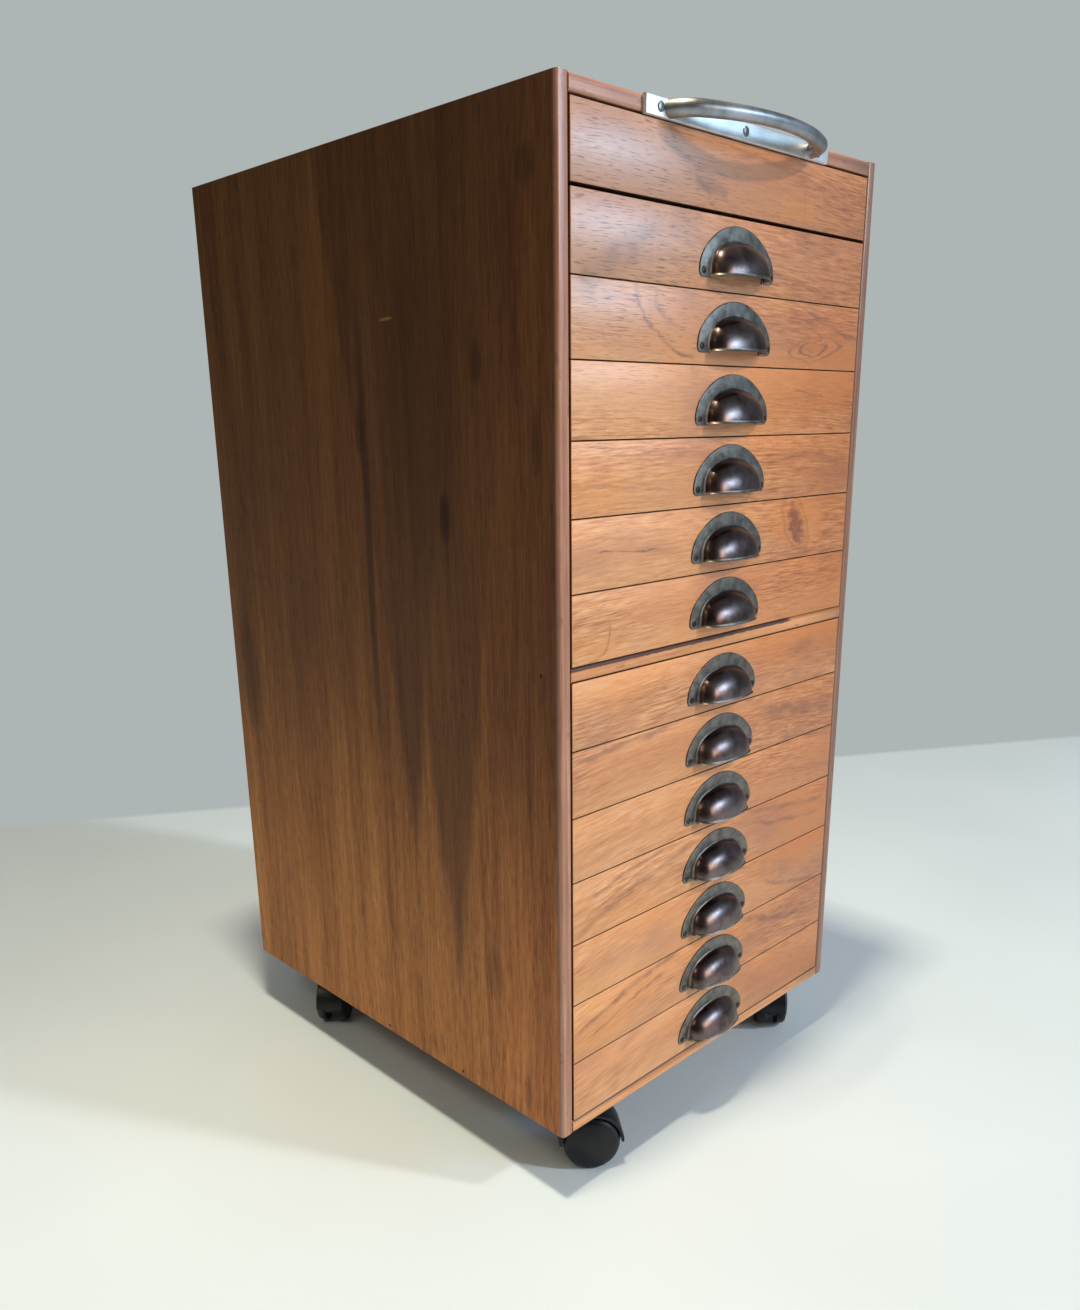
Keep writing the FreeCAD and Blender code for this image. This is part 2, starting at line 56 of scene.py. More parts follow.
# Planes of the case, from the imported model
FRONT_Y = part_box("front_lippings")[0][1]
CASE_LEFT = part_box("side_panel_left")[0][0]
CASE_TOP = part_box("side_panel_left")[1][2]
CASE_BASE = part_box("side_panel_left")[0][2]
SHELF_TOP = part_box("middle_shelf")[1][2]
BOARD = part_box("top_panel")[1][2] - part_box("top_panel")[0][2]
LIPPING_DEPTH = 4.0 * MM


# Modelling by hand: one piece at a time, nothing else selected

def take(*pieces):
    """Selects PIECES and nothing else, the first of them active."""
    bpy.ops.object.select_all(action="DESELECT")
    for piece in pieces:
        piece.select_set(True)
    if pieces:
        bpy.context.view_layer.objects.active = pieces[0]


def begin(primitive, name, **settings):
    """Adds a primitive at its size and place, with that place in its mesh."""
    take()
    primitive(**settings)
    piece = bpy.context.object
    piece.name = piece.data.name = name
    bpy.ops.object.transform_apply(location=True, rotation=True, scale=True)
    return piece


def block(name, centre, size, turned=(0, 0, 0)):
    return begin(bpy.ops.mesh.primitive_cube_add, name, size=1, location=centre, scale=size,
                 rotation=turned)


def rod(name, centre, radius, length, facets, turned=(0, 0, 0)):
    """A cylinder, upright unless it is turned."""
    return begin(bpy.ops.mesh.primitive_cylinder_add, name, vertices=facets, radius=radius,
                 depth=length, location=centre, rotation=turned)


def edit(piece, kind="FACE"):
    """Opens PIECE in edit mode with nothing selected; KIND is VERT, EDGE or FACE."""
    take(piece)
    bpy.ops.object.mode_set(mode="EDIT")
    bpy.ops.mesh.select_mode(type=kind)
    bpy.ops.mesh.select_all(action="DESELECT")


def close():
    bpy.ops.object.mode_set(mode="OBJECT")
    return bpy.context.object


def pick_all():
    bpy.ops.mesh.select_all(action="SELECT")


def pick(test, kind="FACE"):
    """Selects what passes TEST in the open mesh: a test of a face, an edge or a vertex."""
    bpy.ops.mesh.select_mode(type=kind)
    bpy.ops.mesh.select_all(action="DESELECT")
    mesh = bmesh.from_edit_mesh(bpy.context.object.data)
    mesh.normal_update()
    for item in {"FACE": mesh.faces, "EDGE": mesh.edges, "VERT": mesh.verts}[kind]:
        if test(item):
            item.select_set(True)
    mesh.select_flush_mode()
    bmesh.update_edit_mesh(bpy.context.object.data)


def every(item, test):
    """Whether all corners of a face or an edge pass TEST, a test of a point."""
    return all(test(vertex.co) for vertex in item.verts)


def bevel(test, offset, segments):
    """Rounds the edges that pass TEST in the open mesh."""
    pick(test, "EDGE")
    bpy.ops.mesh.bevel(offset=offset, segments=segments)


def cut(point, facing, **sides):
    """Cuts the whole open mesh by a plane; SIDES say what is cleared and whether the cut is filled."""
    pick_all()
    bpy.ops.mesh.bisect(plane_co=point, plane_no=facing, **sides)


def resize(factors, centre):
    bpy.ops.transform.resize(value=factors, center_override=centre)


def tidy():
    """Merges what lies together in the open mesh and turns its faces outwards."""
    pick_all()
    bpy.ops.mesh.remove_doubles(threshold=WELD)
    bpy.ops.mesh.normals_make_consistent(inside=False)


def modify(piece, kind, **settings):
    take(piece)
    modifier = piece.modifiers.new(kind.title(), kind)
    for key, value in settings.items():
        setattr(modifier, key, value)
    bpy.ops.object.modifier_apply(modifier=modifier.name)


def smooth(piece, angle):
    take(piece)
    bpy.ops.object.shade_smooth_by_angle(angle=math.radians(angle))
    return piece


def join(name, *pieces):
    take(*pieces)
    bpy.ops.object.join()
    pieces[0].name = pieces[0].data.name = name
    return pieces[0]


def copied(piece, name, matrix):
    """A copy with its own mesh, moved in that mesh."""
    mesh = piece.data.copy()
    mesh.transform(matrix)
    if matrix.is_negative:
        mesh.flip_normals()
    twin = bpy.data.objects.new(name, mesh)
    mesh.name = name
    bpy.context.collection.objects.link(twin)
    return twin


def drop(*pieces):
    for piece in pieces:
        bpy.data.objects.remove(piece)


def saw(piece, centre, size, turned):
    """Takes a block out of PIECE."""
    blade = block("saw", centre, size, turned)
    modify(piece, "BOOLEAN", operation="DIFFERENCE", object=blade, solver="EXACT")
    drop(blade)


def cover(piece, surface):
    piece.data.materials.clear()
    piece.data.materials.append(surface)


def place(piece, body, slot, surface, *nodes):
    """Hands a finished piece over; SURFACE is None where it has its materials already."""
    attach(piece, body)
    if surface:
        cover(piece, surface)
    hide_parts(*nodes)


def point_at(where):
    """A single vertex, the start of a wire."""
    piece = begin(bpy.ops.mesh.primitive_plane_add, "wire", size=MM, location=where)
    edit(piece, "VERT")
    pick_all()
    bpy.ops.mesh.merge(type="CENTER")
    return piece


def run(shift):
    bpy.ops.mesh.extrude_vertices_move(TRANSFORM_OT_translate={"value": shift})


def wire(points):
    """A wire through POINTS, open in edit mode."""
    point_at(points[0])
    for here, there in zip(points, points[1:]):
        run(there - here)


def extrude(shift):
    bpy.ops.mesh.extrude_region_move(TRANSFORM_OT_translate={"value": shift})


def turn(degrees, centre, axis, steps):
    """Spins what is selected by the right-hand rule; the operator itself turns the other way."""
    bpy.ops.mesh.spin(steps=steps, angle=-math.radians(degrees), center=centre, axis=axis)


def cos_sin(degrees):
    return math.cos(math.radians(degrees)), math.sin(math.radians(degrees))


def outline(start, moves, level):
    """A wire in an upright plane at y LEVEL, open in edit mode.

    A move is a run to a point (x, z) or an arc (x, z, degrees, steps) about one.
    """
    here = Vector(start)
    piece = point_at((start[0], level, start[1]))
    for move in moves:
        if len(move) == 2:
            there = Vector(move)
            run((there.x - here.x, 0, there.y - here.y))
            here = there
        else:
            centre, degrees, steps = Vector(move[:2]), move[2], move[3]
            turn(degrees, (centre.x, level, centre.y), -Y, steps)
            arm = here - centre
            cos, sin = cos_sin(degrees)
            here = centre + Vector((arm.x * cos - arm.y * sin, arm.x * sin + arm.y * cos))
    return piece


# Surfaces

def both_ways(operation):
    """An operator and its reflected form, which add the Math node of OPERATION."""
    def plain(self, other):
        return self.maths(operation, self, other)

    def reflected(self, other):
        return self.maths(operation, other, self)

    return plain, reflected


class Value:
    """An output socket that takes part in sums: every operator adds its Math node."""

    def __init__(self, surface, socket):
        self.surface, self.socket = surface, socket

    def maths(self, operation, *terms):
        return self.surface.node("ShaderNodeMath", {"operation": operation}, *terms)

    __add__, __radd__ = both_ways("ADD")
    __sub__, __rsub__ = both_ways("SUBTRACT")
    __mul__, __rmul__ = both_ways("MULTIPLY")
    __truediv__, __rtruediv__ = both_ways("DIVIDE")
    __pow__, __rpow__ = both_ways("POWER")

    def __neg__(self):
        return self.maths("MULTIPLY", self, -1)

    def __abs__(self):
        return self.maths("ABSOLUTE", self)

    def step(self, low, high):
        """0 below LOW, 1 above HIGH and smooth between; falls where LOW is the larger."""
        return self.surface.node("ShaderNodeMapRange", {"interpolation_type": "SMOOTHSTEP"},
                                 Value=self, **{"From Min": low, "From Max": high})

    def hump(self, middle, half):
        """1 at MIDDLE, falling smoothly to 0 at HALF to either side."""
        return abs(self - middle).step(half, 0)


class Nodes:
    """A shader tree that is filled by one method."""

    def __init__(self, tree):
        self.tree = tree

    def node(self, kind, settings=None, *values, output=0, **named):
        """Adds a node: its settings first, then the values or links of its sockets."""
        made = self.tree.nodes.new(kind)
        for key, value in (settings or {}).items():
            if key == "stops":
                ramp = made.color_ramp.elements
                while len(ramp) < len(value):
                    ramp.new(0.5)
                for stop, (position, colour) in zip(ramp, value):
                    stop.position, stop.color = position, (*colour, 1)
            else:
                setattr(made, key, value)
        for key, value in [*enumerate(values), *named.items()]:
            if isinstance(value, Value):
                self.tree.links.new(value.socket, made.inputs[key])
            else:
                made.inputs[key].default_value = value
        return Value(self, made.outputs[output]) if made.outputs else None

    def split(self, vector):
        parts = self.node("ShaderNodeSeparateXYZ", None, vector).socket.node.outputs
        return [Value(self, part) for part in parts]

    def vector(self, *parts):
        return self.node("ShaderNodeCombineXYZ", None, *parts)

    def noise(self, x, y, z, detail=2.0, rough=0.5):
        return self.node("ShaderNodeTexNoise", None, Vector=self.vector(x, y, z), Scale=1.0,
                         Detail=detail, Roughness=rough)

    def ramp(self, factor, stops):
        return self.node("ShaderNodeValToRGB", {"stops": stops}, factor)

    def larger(self, one, other):
        return self.node("ShaderNodeMath", {"operation": "MAXIMUM"}, one, other)

    def mix(self, factor, one, other, blend="MIX"):
        made = self.node("ShaderNodeMix", {"data_type": "RGBA", "blend_type": blend,
                                           "clamp_factor": True}, factor, output=2)
        for index, colour in ((6, one), (7, other)):
            if isinstance(colour, Value):
                self.tree.links.new(colour.socket, made.socket.node.inputs[index])
            else:
                made.socket.node.inputs[index].default_value = (*colour, 1)
        return made

    def tinted(self, colour, tint):
        return self.mix(1.0, colour, tint, "MULTIPLY")

    def shade(self, colour, factor):
        """COLOUR darkened or lightened by a plain FACTOR."""
        return self.node("ShaderNodeVectorMath", {"operation": "MULTIPLY"}, colour,
                         self.vector(factor, factor, factor))

    def rays(self, kind):
        """1 for the rays of KIND, which is Camera or Glossy."""
        kinds = self.node("ShaderNodeLightPath").socket.node.outputs
        return Value(self, kinds["Is %s Ray" % kind])


class Surface(Nodes):
    """A material built of nodes on Object coordinates."""

    def __init__(self, name, **constants):
        self.material = bpy.data.materials.new(name)
        self.material.use_nodes = True
        super().__init__(self.material.node_tree)
        self.shader = self.tree.nodes["Principled BSDF"]
        for socket, value in constants.items():
            self.shader.inputs[socket.replace("_", " ")].default_value = value
        self.x, self.y, self.z = self.split(self.node("ShaderNodeTexCoord", output="Object"))
        self.axes = {"x": self.x, "y": self.y, "z": self.z}

    def facing(self, axis):
        """How much the surface faces along AXIS (0, 1, 2) in the piece's own frame, from -1 to 1."""
        return self.split(self.node("ShaderNodeTexCoord", output="Normal"))[axis]

    def mottle(self, scale, detail=2.0, rough=0.5, shift=0.0):
        """Noise that is as coarse along every axis."""
        return self.noise(self.x * scale, self.y * scale, self.z * scale + shift, detail, rough)

    def bump(self, height, distance, strength):
        return self.node("ShaderNodeBump", None, Height=height, Distance=distance, Strength=strength)

    def finish(self, **links):
        for name, value in links.items():
            socket = self.shader.inputs[name.replace("_", " ")]
            if isinstance(value, Value):
                self.tree.links.new(value.socket, socket)
            else:
                socket.default_value = value
        return self.material


def rgb(red, green, blue):
    """A colour written as it looks, 0 to 255, turned into the values that light works in."""
    return tuple(c / 12.92 if c <= 0.04045 else ((c + 0.055) / 1.055) ** 2.4
                 for c in (red / 255, green / 255, blue / 255))


def grain(s, along, across, seed, wander=0.03):
    """Four scales of wood grain between 0 and 1: broad bands, streaks, threads and pores."""
    line = across + (s.noise(along * 2.4, across * 7, seed) - 0.5) * wander
    bands = s.noise(along * 1.3, line * 26, seed + 3, detail=3)
    streaks = s.noise(along * 7, line * 150, seed + 7, detail=4, rough=0.62)
    threads = s.noise(along * 48, line * 620, seed + 11, detail=3, rough=0.6)
    pores = s.noise(along * 80, line * 1300, seed + 17, detail=1).step(0.57, 0.68)
    return bands, streaks, threads, pores


def grain_height(streaks, threads, pores):
    return threads * 0.5 - pores * 0.8 + streaks * 0.3


def mark(along, across, start, end, half, bend):
    """A soft dark streak from START to END, each (along, across), HALF wide and bent by BEND."""
    (a0, c0), (a1, c1) = start, end
    middle, reach = (a0 + a1) / 2, abs(a1 - a0) / 2
    slope = (c1 - c0) / (a1 - a0)
    off = along - middle
    line = across - (c0 + c1) / 2 - off * slope
    if bend:
        line = line - (off * off * (1 / reach ** 2) - 1) * bend
    return line.hump(0, half) * off.hump(0, reach * 1.25).step(0, 0.35)


def spot(along, across, centre, half_along, half_across):
    """The square of how far a point lies from a spot's centre, where 1 is its oval rim."""
    a, c = centre
    return ((along - a) / half_along) ** 2 + ((across - c) / half_across) ** 2


# Dark streaks of the fronts' figure, as (x, z) ends, half width, bend and strength
FRONT_MARKS = [
    ((-0.160, 0.638), (-0.076, 0.680), 0.010, 0.0, 0.50),
    ((-0.156, 0.632), (-0.100, 0.658), 0.010, 0.0, 0.40),
    ((-0.060, 0.712), (-0.030, 0.697), 0.005, 0.0, 0.40),
    ((-0.010, 0.724), (0.060, 0.727), 0.004, 0.0, 0.40),
    ((0.082, 0.636), (0.166, 0.616), 0.0026, 0.002, 0.55),
    ((0.020, 0.655), (0.120, 0.648), 0.0030, 0.0, 0.25),
    ((0.076, 0.578), (0.120, 0.574), 0.0014, 0.0, 0.40),
    ((-0.152, 0.541), (-0.052, 0.537), 0.0016, 0.0, 0.35),
    ((-0.156, 0.518), (-0.060, 0.512), 0.0020, 0.0, 0.28),
    ((0.052, 0.532), (0.160, 0.527), 0.0050, 0.0, 0.25),
    ((-0.140, 0.4740), (-0.078, 0.4725), 0.0010, 0.0, 0.65),
    ((-0.160, 0.338), (-0.055, 0.345), 0.0040, 0.0, 0.45),
    ((0.050, 0.334), (0.160, 0.318), 0.0110, 0.0, 0.42),
    ((0.080, 0.306), (0.160, 0.296), 0.0050, 0.0, 0.38),
    ((-0.162, 0.212), (-0.030, 0.243), 0.0055, -0.003, 0.55),
    ((-0.150, 0.236), (-0.042, 0.250), 0.0028, -0.002, 0.50),
    ((-0.150, 0.222), (-0.070, 0.243), 0.0020, -0.002, 0.45),
    ((0.040, 0.252), (0.160, 0.236), 0.0040, 0.003, 0.42),
    ((0.046, 0.238), (0.150, 0.224), 0.0020, 0.002, 0.45),
    ((0.060, 0.182), (0.160, 0.158), 0.0034, 0.002, 0.40),
    ((-0.162, 0.134), (-0.040, 0.158), 0.0045, -0.003, 0.55),
    ((-0.150, 0.124), (-0.060, 0.146), 0.0022, -0.002, 0.45),
    ((0.038, 0.156), (0.160, 0.128), 0.0048, 0.003, 0.45),
    ((0.044, 0.140), (0.150, 0.116), 0.0022, 0.003, 0.45),
    ((-0.120, 0.100), (-0.040, 0.126), 0.0080, 0.0, 0.22),
    ((0.060, 0.190), (0.166, 0.166), 0.0170, 0.0, 0.28),
    ((-0.050, 0.706), (-0.012, 0.700), 0.009, 0.0, 0.45),
]
EYE_X, EYE_Z = 0.098, 0.607
KNOT_X, KNOT_Z = 0.089, 0.478


def front_sheet(s, tone, cloud):
    """The fronts' wood: orange clouds and dull ones, with painted light and shade: paler and bluer at
    the left, darker and more saturated at the right.
    """
    colour = s.ramp(tone, [(0.28, rgb(140, 82, 46)), (0.43, rgb(184, 120, 74)),
                           (0.56, rgb(206, 145, 96)), (0.72, rgb(222, 167, 120))])
    colour = s.mix(cloud.step(0.46, 0.66) * 0.45, colour, rgb(206, 130, 66))
    dull = s.noise(s.x * 9, s.z * 24, 61.0, detail=3)
    colour = s.mix(dull.step(0.52, 0.70) * 0.42, colour, rgb(158, 104, 80))
    # painted light and shade: the wood is tinted paler and bluer at the left and darker at the right,
    # standing in for light and sheen that fall unevenly across the fronts
    painted_light_left = s.tinted(colour, (1.14, 1.22, 1.34))
    painted_shade_right = s.tinted(colour, (0.80, 0.67, 0.53))
    return s.mix(s.x.step(-0.15, 0.17), painted_light_left, painted_shade_right)


def front_figure(s, cloud):
    """How dark the figure is: streaks, a bowl of arcs, the eye at the right, a ring and two spots."""
    x, z = s.x, s.z
    drift = (s.noise(x * 26, z * 60, 5.0, detail=4, rough=0.65) - 0.5) * 0.012
    wavy = z + drift
    dark = 0.0
    for start, end, half, bend, strength in FRONT_MARKS:
        dark = mark(x, wavy, start, end, half, bend) * strength + dark
    bowl = spot(x + drift, wavy, (-0.040, 0.646), 0.066, 0.048)
    dark = dark + bowl.hump(1.0, 0.10) * x.step(-0.036, -0.056) * z.step(0.644, 0.636) * 0.60
    dark = dark + bowl.hump(0.55, 0.10) * x.step(-0.044, -0.066) * z.step(0.640, 0.630) * 0.30
    tilted = wavy - EYE_Z - (x - EYE_X) * 0.08
    eye = abs(x - EYE_X + drift * 1.6) / 0.044 + (tilted / 0.0095) ** 2 + x.step(0.092, 0.050) * 0.45
    dark = dark + eye.hump(0.90, 0.16) * 0.48 + eye.hump(0.42, 0.14) * 0.62 + eye.step(0.30, 0.0) * 0.35
    ring = spot(x, wavy, (-0.150, 0.424), 0.023, 0.020)
    dark = dark + ring.hump(1.0, 0.16) * cloud.step(0.40, 0.56) * 0.34
    dark = dark + spot(x, z, (0.105, 0.377), 0.026, 0.010).step(1.0, 0.0) * 0.22
    return dark + spot(x, z, (-0.096, 0.372), 0.030, 0.012).step(1.0, 0.0) * 0.20


def front_knot(s, colour):
    """COLOUR with the knot: a warm glow round wavy rings and a dark core."""
    across, up = s.x - KNOT_X, s.z - KNOT_Z
    swirl = (s.noise(s.x * 110, s.z * 130, 9.0, detail=4, rough=0.65) - 0.5) * 5.0
    knot = ((across + up * 0.45) / 0.0085) ** 2 + (up / 0.0125) ** 2 + swirl
    glow = spot(s.x, s.z, (KNOT_X, KNOT_Z), 0.050, 0.022).step(1.0, 0.1)
    colour = s.mix(glow * 0.55, colour, rgb(198, 122, 64))
    rings = s.node("ShaderNodeMath", {"operation": "SINE"}, knot * 2.2)
    dark = knot.step(6.0, 1.0) * (0.30 + rings * 0.22) + knot.step(1.3, 0.1) * 0.45
    return s.mix(dark, colour, rgb(118, 64, 40))


def front_wear_and_sheen(s, colour, sheen_and_wear):
    """COLOUR with the orange stain, the scratch and the greyed upper fronts, partly greyed wood and
    partly a painted sheen that is strongest at the upper left.
    """
    x, z = s.x, s.z
    patch = (s.noise(x * 90, z * 120, 3.0) - 0.5) * 0.010
    across, up = x + patch, z + patch
    stain = across.step(0.048, 0.052) * across.step(0.098, 0.088)
    stain = stain * up.step(0.690, 0.695) * up.step(0.716, 0.702)
    colour = s.mix(stain * 0.55, colour, rgb(206, 132, 60))
    scratch = x.hump(0.079, 0.0009) * z.step(0.696, 0.699) * z.step(0.719, 0.714)
    colour = s.mix(scratch * 0.6, colour, rgb(136, 104, 92))
    # partly greyed wood and partly painted sheen: the upper fronts are mixed towards grey, most at the
    # upper left
    return s.mix(z.step(0.54, 0.68) * (0.25 + sheen_and_wear * 0.30), colour, rgb(146, 112, 100))


def front_veneer():
    """Orange-brown veneer with level grain, one sheet across all the fronts; plain wood behind it."""
    s = Surface("front_veneer", Coat_Roughness=0.34, Coat_IOR=1.5)
    x, z = s.x, s.z
    level = z + x * x * (0.10 + 0.36 * z.step(0.38, 0.28))
    bands, streaks, threads, pores = grain(s, x, level, 2.0, 0.02)
    lively = 0.35 + s.noise(x * 5, z * 16, 27.0).step(0.38, 0.62) * 0.75
    tone = 0.5 + (bands - 0.5) * 0.36
    tone = tone + (streaks - 0.5) * 0.30 * lively + (threads - 0.5) * 0.80 * lively
    cloud = s.noise(x * 6, z * 11, 21.0)
    colour = front_sheet(s, tone, cloud)
    broken = 0.55 + s.noise(x * 45, z * 70, 33.0).step(0.40, 0.58) * 0.60
    broken = (0.35 + streaks * 0.7 + threads * 0.6) * broken
    colour = s.mix(front_figure(s, cloud) * broken, colour, rgb(104, 66, 52))
    colour = front_knot(s, colour)
    # the upper left of the fronts, where a sheen is painted; the same mask raises the coat and darkens
    # the pores there
    sheen_and_wear = x.step(0.05, -0.11) * z.step(0.54, 0.66)
    colour = front_wear_and_sheen(s, colour, sheen_and_wear)
    colour = s.mix(pores * (0.22 * lively + sheen_and_wear * 0.55), colour, rgb(88, 54, 42))
    rim = abs(s.facing(1)).step(0.7, 0.3)
    plain = s.mix(rim, plain_wood_colour(s, x, z, 31.0), rgb(104, 66, 42))
    skin = (-s.facing(1)).step(0.5, 0.9)
    colour = s.mix(skin, plain, colour)
    return s.finish(Base_Color=colour, Roughness=0.40 + threads * 0.14 + pores * 0.15,
                    Coat_Weight=0.22 + sheen_and_wear * 0.70,
                    Normal=s.bump(grain_height(streaks, threads, pores), 0.00010, 0.5))


# Dark patches of the side's figure, as centres (y, z) with half their size, and their strength
SIDE_PATCHES = [
    ((0.008, 0.480), 0.006, 0.200, 0.50),
    ((0.014, 0.552), 0.006, 0.022, 0.35),
    ((-0.082, 0.494), 0.007, 0.022, 0.55),
    ((-0.117, 0.594), 0.008, 0.018, 0.40),
    ((-0.172, 0.544), 0.005, 0.026, 0.40),
    ((0.205, 0.345), 0.022, 0.070, 0.35),
    ((-0.120, 0.165), 0.012, 0.028, 0.35),
    ((-0.155, 0.075), 0.005, 0.022, 0.40),
    ((-0.048, 0.070), 0.012, 0.016, 0.25),
    ((0.100, 0.400), 0.010, 0.060, 0.18),
    ((-0.060, 0.560), 0.045, 0.160, 0.30),
    ((-0.165, 0.700), 0.012, 0.016, 0.35),
]
SIDE_NAILS = [(0.018, 0.0585), (-0.079, 0.0585), (-0.174, 0.398)]
DENT_Y, DENT_Z = -0.025, 0.626


def side_flames(s, ragged):
    """How dark the side is: three flames that reach down, and all of it towards the top."""
    y, z = s.y, s.z
    soft = s.noise(z * 1.5, y * 16, 2.0, detail=3) - 0.5
    first = (z - 0.215 - abs(y + 0.032) * 5.5 + ragged * 0.10).step(-0.01, 0.07)
    second = (z - 0.112 - abs(y + 0.080) * 6.5 + ragged * 0.10).step(-0.01, 0.08)
    third = (z - 0.330 - abs(y + 0.165) * 5.0 + ragged * 0.14).step(-0.01, 0.10)
    general = (z - 0.310 + soft * 0.42 + ragged * 0.10).step(-0.06, 0.12) * 0.75
    return s.larger(s.larger(first, second * 0.9), s.larger(third * 0.6, general))


def side_veneer():
    """Dark brown veneer with upright grain on the sides' faces; plain wood on their edges."""
    s = Surface("side_veneer", Specular_IOR_Level=0.22)
    y, z = s.y, s.z
    bands, streaks, threads, pores = grain(s, z, y, 5.0, 0.022)
    near_front = y.step(-0.09, -0.14)
    tone = 0.5 + (bands - 0.5) * 0.62 + (streaks - 0.5) * (0.55 + near_front * 0.30)
    tone = tone + (threads - 0.5) * (0.55 + near_front * 0.25)
    colour = s.ramp(tone, [(0.26, rgb(118, 72, 34)), (0.44, rgb(166, 108, 58)),
                           (0.58, rgb(190, 128, 72)), (0.76, rgb(214, 152, 92))])
    colour = s.mix(near_front * 0.25, colour, rgb(186, 104, 62))
    ragged = s.noise(z * 3, y * 60, 1.0, detail=4, rough=0.62) - 0.5
    colour = s.mix(side_flames(s, ragged) * 0.66, colour, rgb(84, 52, 36))
    dark = 0.0
    for centre, half_y, half_z, strength in SIDE_PATCHES:
        dark = spot(y + ragged * 0.006, z, centre, half_y, half_z).step(1.0, 0.1) * strength + dark
    colour = s.mix(dark, colour, rgb(50, 31, 22))
    # painted shade: the side is darkened towards the top, where less light bounces up from the floor
    colour = s.shade(colour, 0.92 - z.step(0.06, 0.34) * 0.43 - z.step(0.34, 0.70) * 0.10)
    colour = s.mix(pores * 0.35, colour, rgb(46, 28, 18))
    up = z - DENT_Z
    dent = ((y - DENT_Y + up * 1.6) / 0.009) ** 2 + (up / 0.0014) ** 2
    colour = s.mix(dent.step(1.0, 0.2) * 0.55, colour, rgb(150, 112, 66))
    nails = 0.0
    for nail in SIDE_NAILS:
        nails = spot(y, z, nail, 0.0016, 0.0016).step(1.0, 0.4) + nails
    colour = s.mix(nails, colour, rgb(24, 15, 11))
    plain = s.tinted(plain_wood_colour(s, z, y, 37.0), (0.56, 0.44, 0.36))
    skin = abs(s.facing(0)).step(0.5, 0.9) * abs(s.x).step(0.1715, 0.1725)
    colour = s.mix(skin, plain, colour)
    return s.finish(Base_Color=colour, Roughness=0.46 + threads * 0.16 + pores * 0.12,
                    Normal=s.bump(grain_height(streaks, threads, pores), 0.00010, 0.5))


def board_veneer():
    """Dark veneer on the level boards, its grain running from side to side."""
    s = Surface("board_veneer", Coat_Weight=0.15, Coat_Roughness=0.3, Coat_IOR=1.45)
    bands, streaks, threads, pores = grain(s, s.x, s.y, 8.0)
    tone = 0.5 + (bands - 0.5) * 0.9 + (streaks - 0.5) * 0.6 + (threads - 0.5) * 0.4
    colour = s.ramp(tone, [(0.24, rgb(80, 48, 30)), (0.45, rgb(116, 72, 43)),
                           (0.60, rgb(140, 90, 54)), (0.78, rgb(160, 106, 64))])
    colour = s.mix(pores * 0.4, colour, rgb(50, 30, 20))
    return s.finish(Base_Color=colour, Roughness=0.40 + threads * 0.16,
                    Normal=s.bump(grain_height(streaks, threads, pores), 0.00012, 0.6))


def plain_wood_colour(s, along, across, seed):
    bands = s.noise(along * 1.6, across * 40, seed)
    threads = s.noise(along * 16, across * 500, seed + 2, detail=3, rough=0.6)
    return s.ramp(bands * 0.6 + threads * 0.4, [(0.30, rgb(176, 138, 96)), (0.55, rgb(201, 166, 122)),
                                               (0.72, rgb(216, 184, 142))])


def plain_wood(name, along, across, seed):
    """Pale wood of the drawers' boxes, the runners and the back; ALONG and ACROSS are axes."""
    s = Surface(name)
    along, across = s.axes[along], s.axes[across]
    threads = s.noise(along * 16, across * 500, seed + 5)
    return s.finish(Base_Color=plain_wood_colour(s, along, across, seed),
                    Roughness=0.55 + threads * 0.15, Normal=s.bump(threads, 0.0001, 0.5))


def edging(name, along, across, tones, torn=False):
    """Solid strip wood with its grain along the strip, darker at the seam and where it shows wear, with
    a painted gap shadow along the bottom strip's top and painted shade towards the right.
    """
    s = Surface(name, Coat_Roughness=0.32, Coat_IOR=1.5)
    along, across = s.axes[along], s.axes[across]
    streaks = s.noise(along * 5, across * 240, 41.0, detail=3, rough=0.6)
    threads = s.noise(along * 22, across * 1100, 43.0)
    wear = s.noise(along * 38, across * 120, 47.0, detail=3, rough=0.6)
    tone = streaks * 0.6 + threads * 0.25 + wear * 0.15
    colour = s.ramp(tone, [*zip((0.32, 0.50, 0.66), tones)])
    colour = s.mix(wear.step(0.60, 0.70) * 0.5, colour, rgb(92, 56, 42))
    seam = (s.y - FRONT_Y).step(0.0016, 0.0034)
    # painted gap shadow: a dark line along the top of the bottom strip, under the lowest front
    foot = s.z.step(0.0622, 0.0630) * s.z.step(0.0650, 0.0640) * abs(s.x).step(0.1640, 0.1630)
    colour = s.mix(s.larger(seam * 0.75, foot * 0.8), colour, rgb(66, 40, 30))
    # painted shade: the strips are darker towards the right, where less light falls
    colour = s.shade(colour, 1.0 - s.x.step(0.10, 0.17) * 0.40)
    if torn:
        ragged = (s.noise(along * 150, 2.0, 51.0, detail=3, rough=0.7) - 0.5) * 0.0022
        splinters = (across + ragged).step(SHELF_TOP - 0.0033, SHELF_TOP - 0.0026)
        colour = s.mix(splinters * along.step(0.092, 0.084) * 0.95, colour, rgb(66, 34, 26))
    return s.finish(Base_Color=colour, Roughness=0.36 + wear * 0.2,
                    Coat_Weight=0.3 + s.z.step(0.50, 0.70) * 0.7,
                    Normal=s.bump(streaks + wear, 0.0001, 0.5))


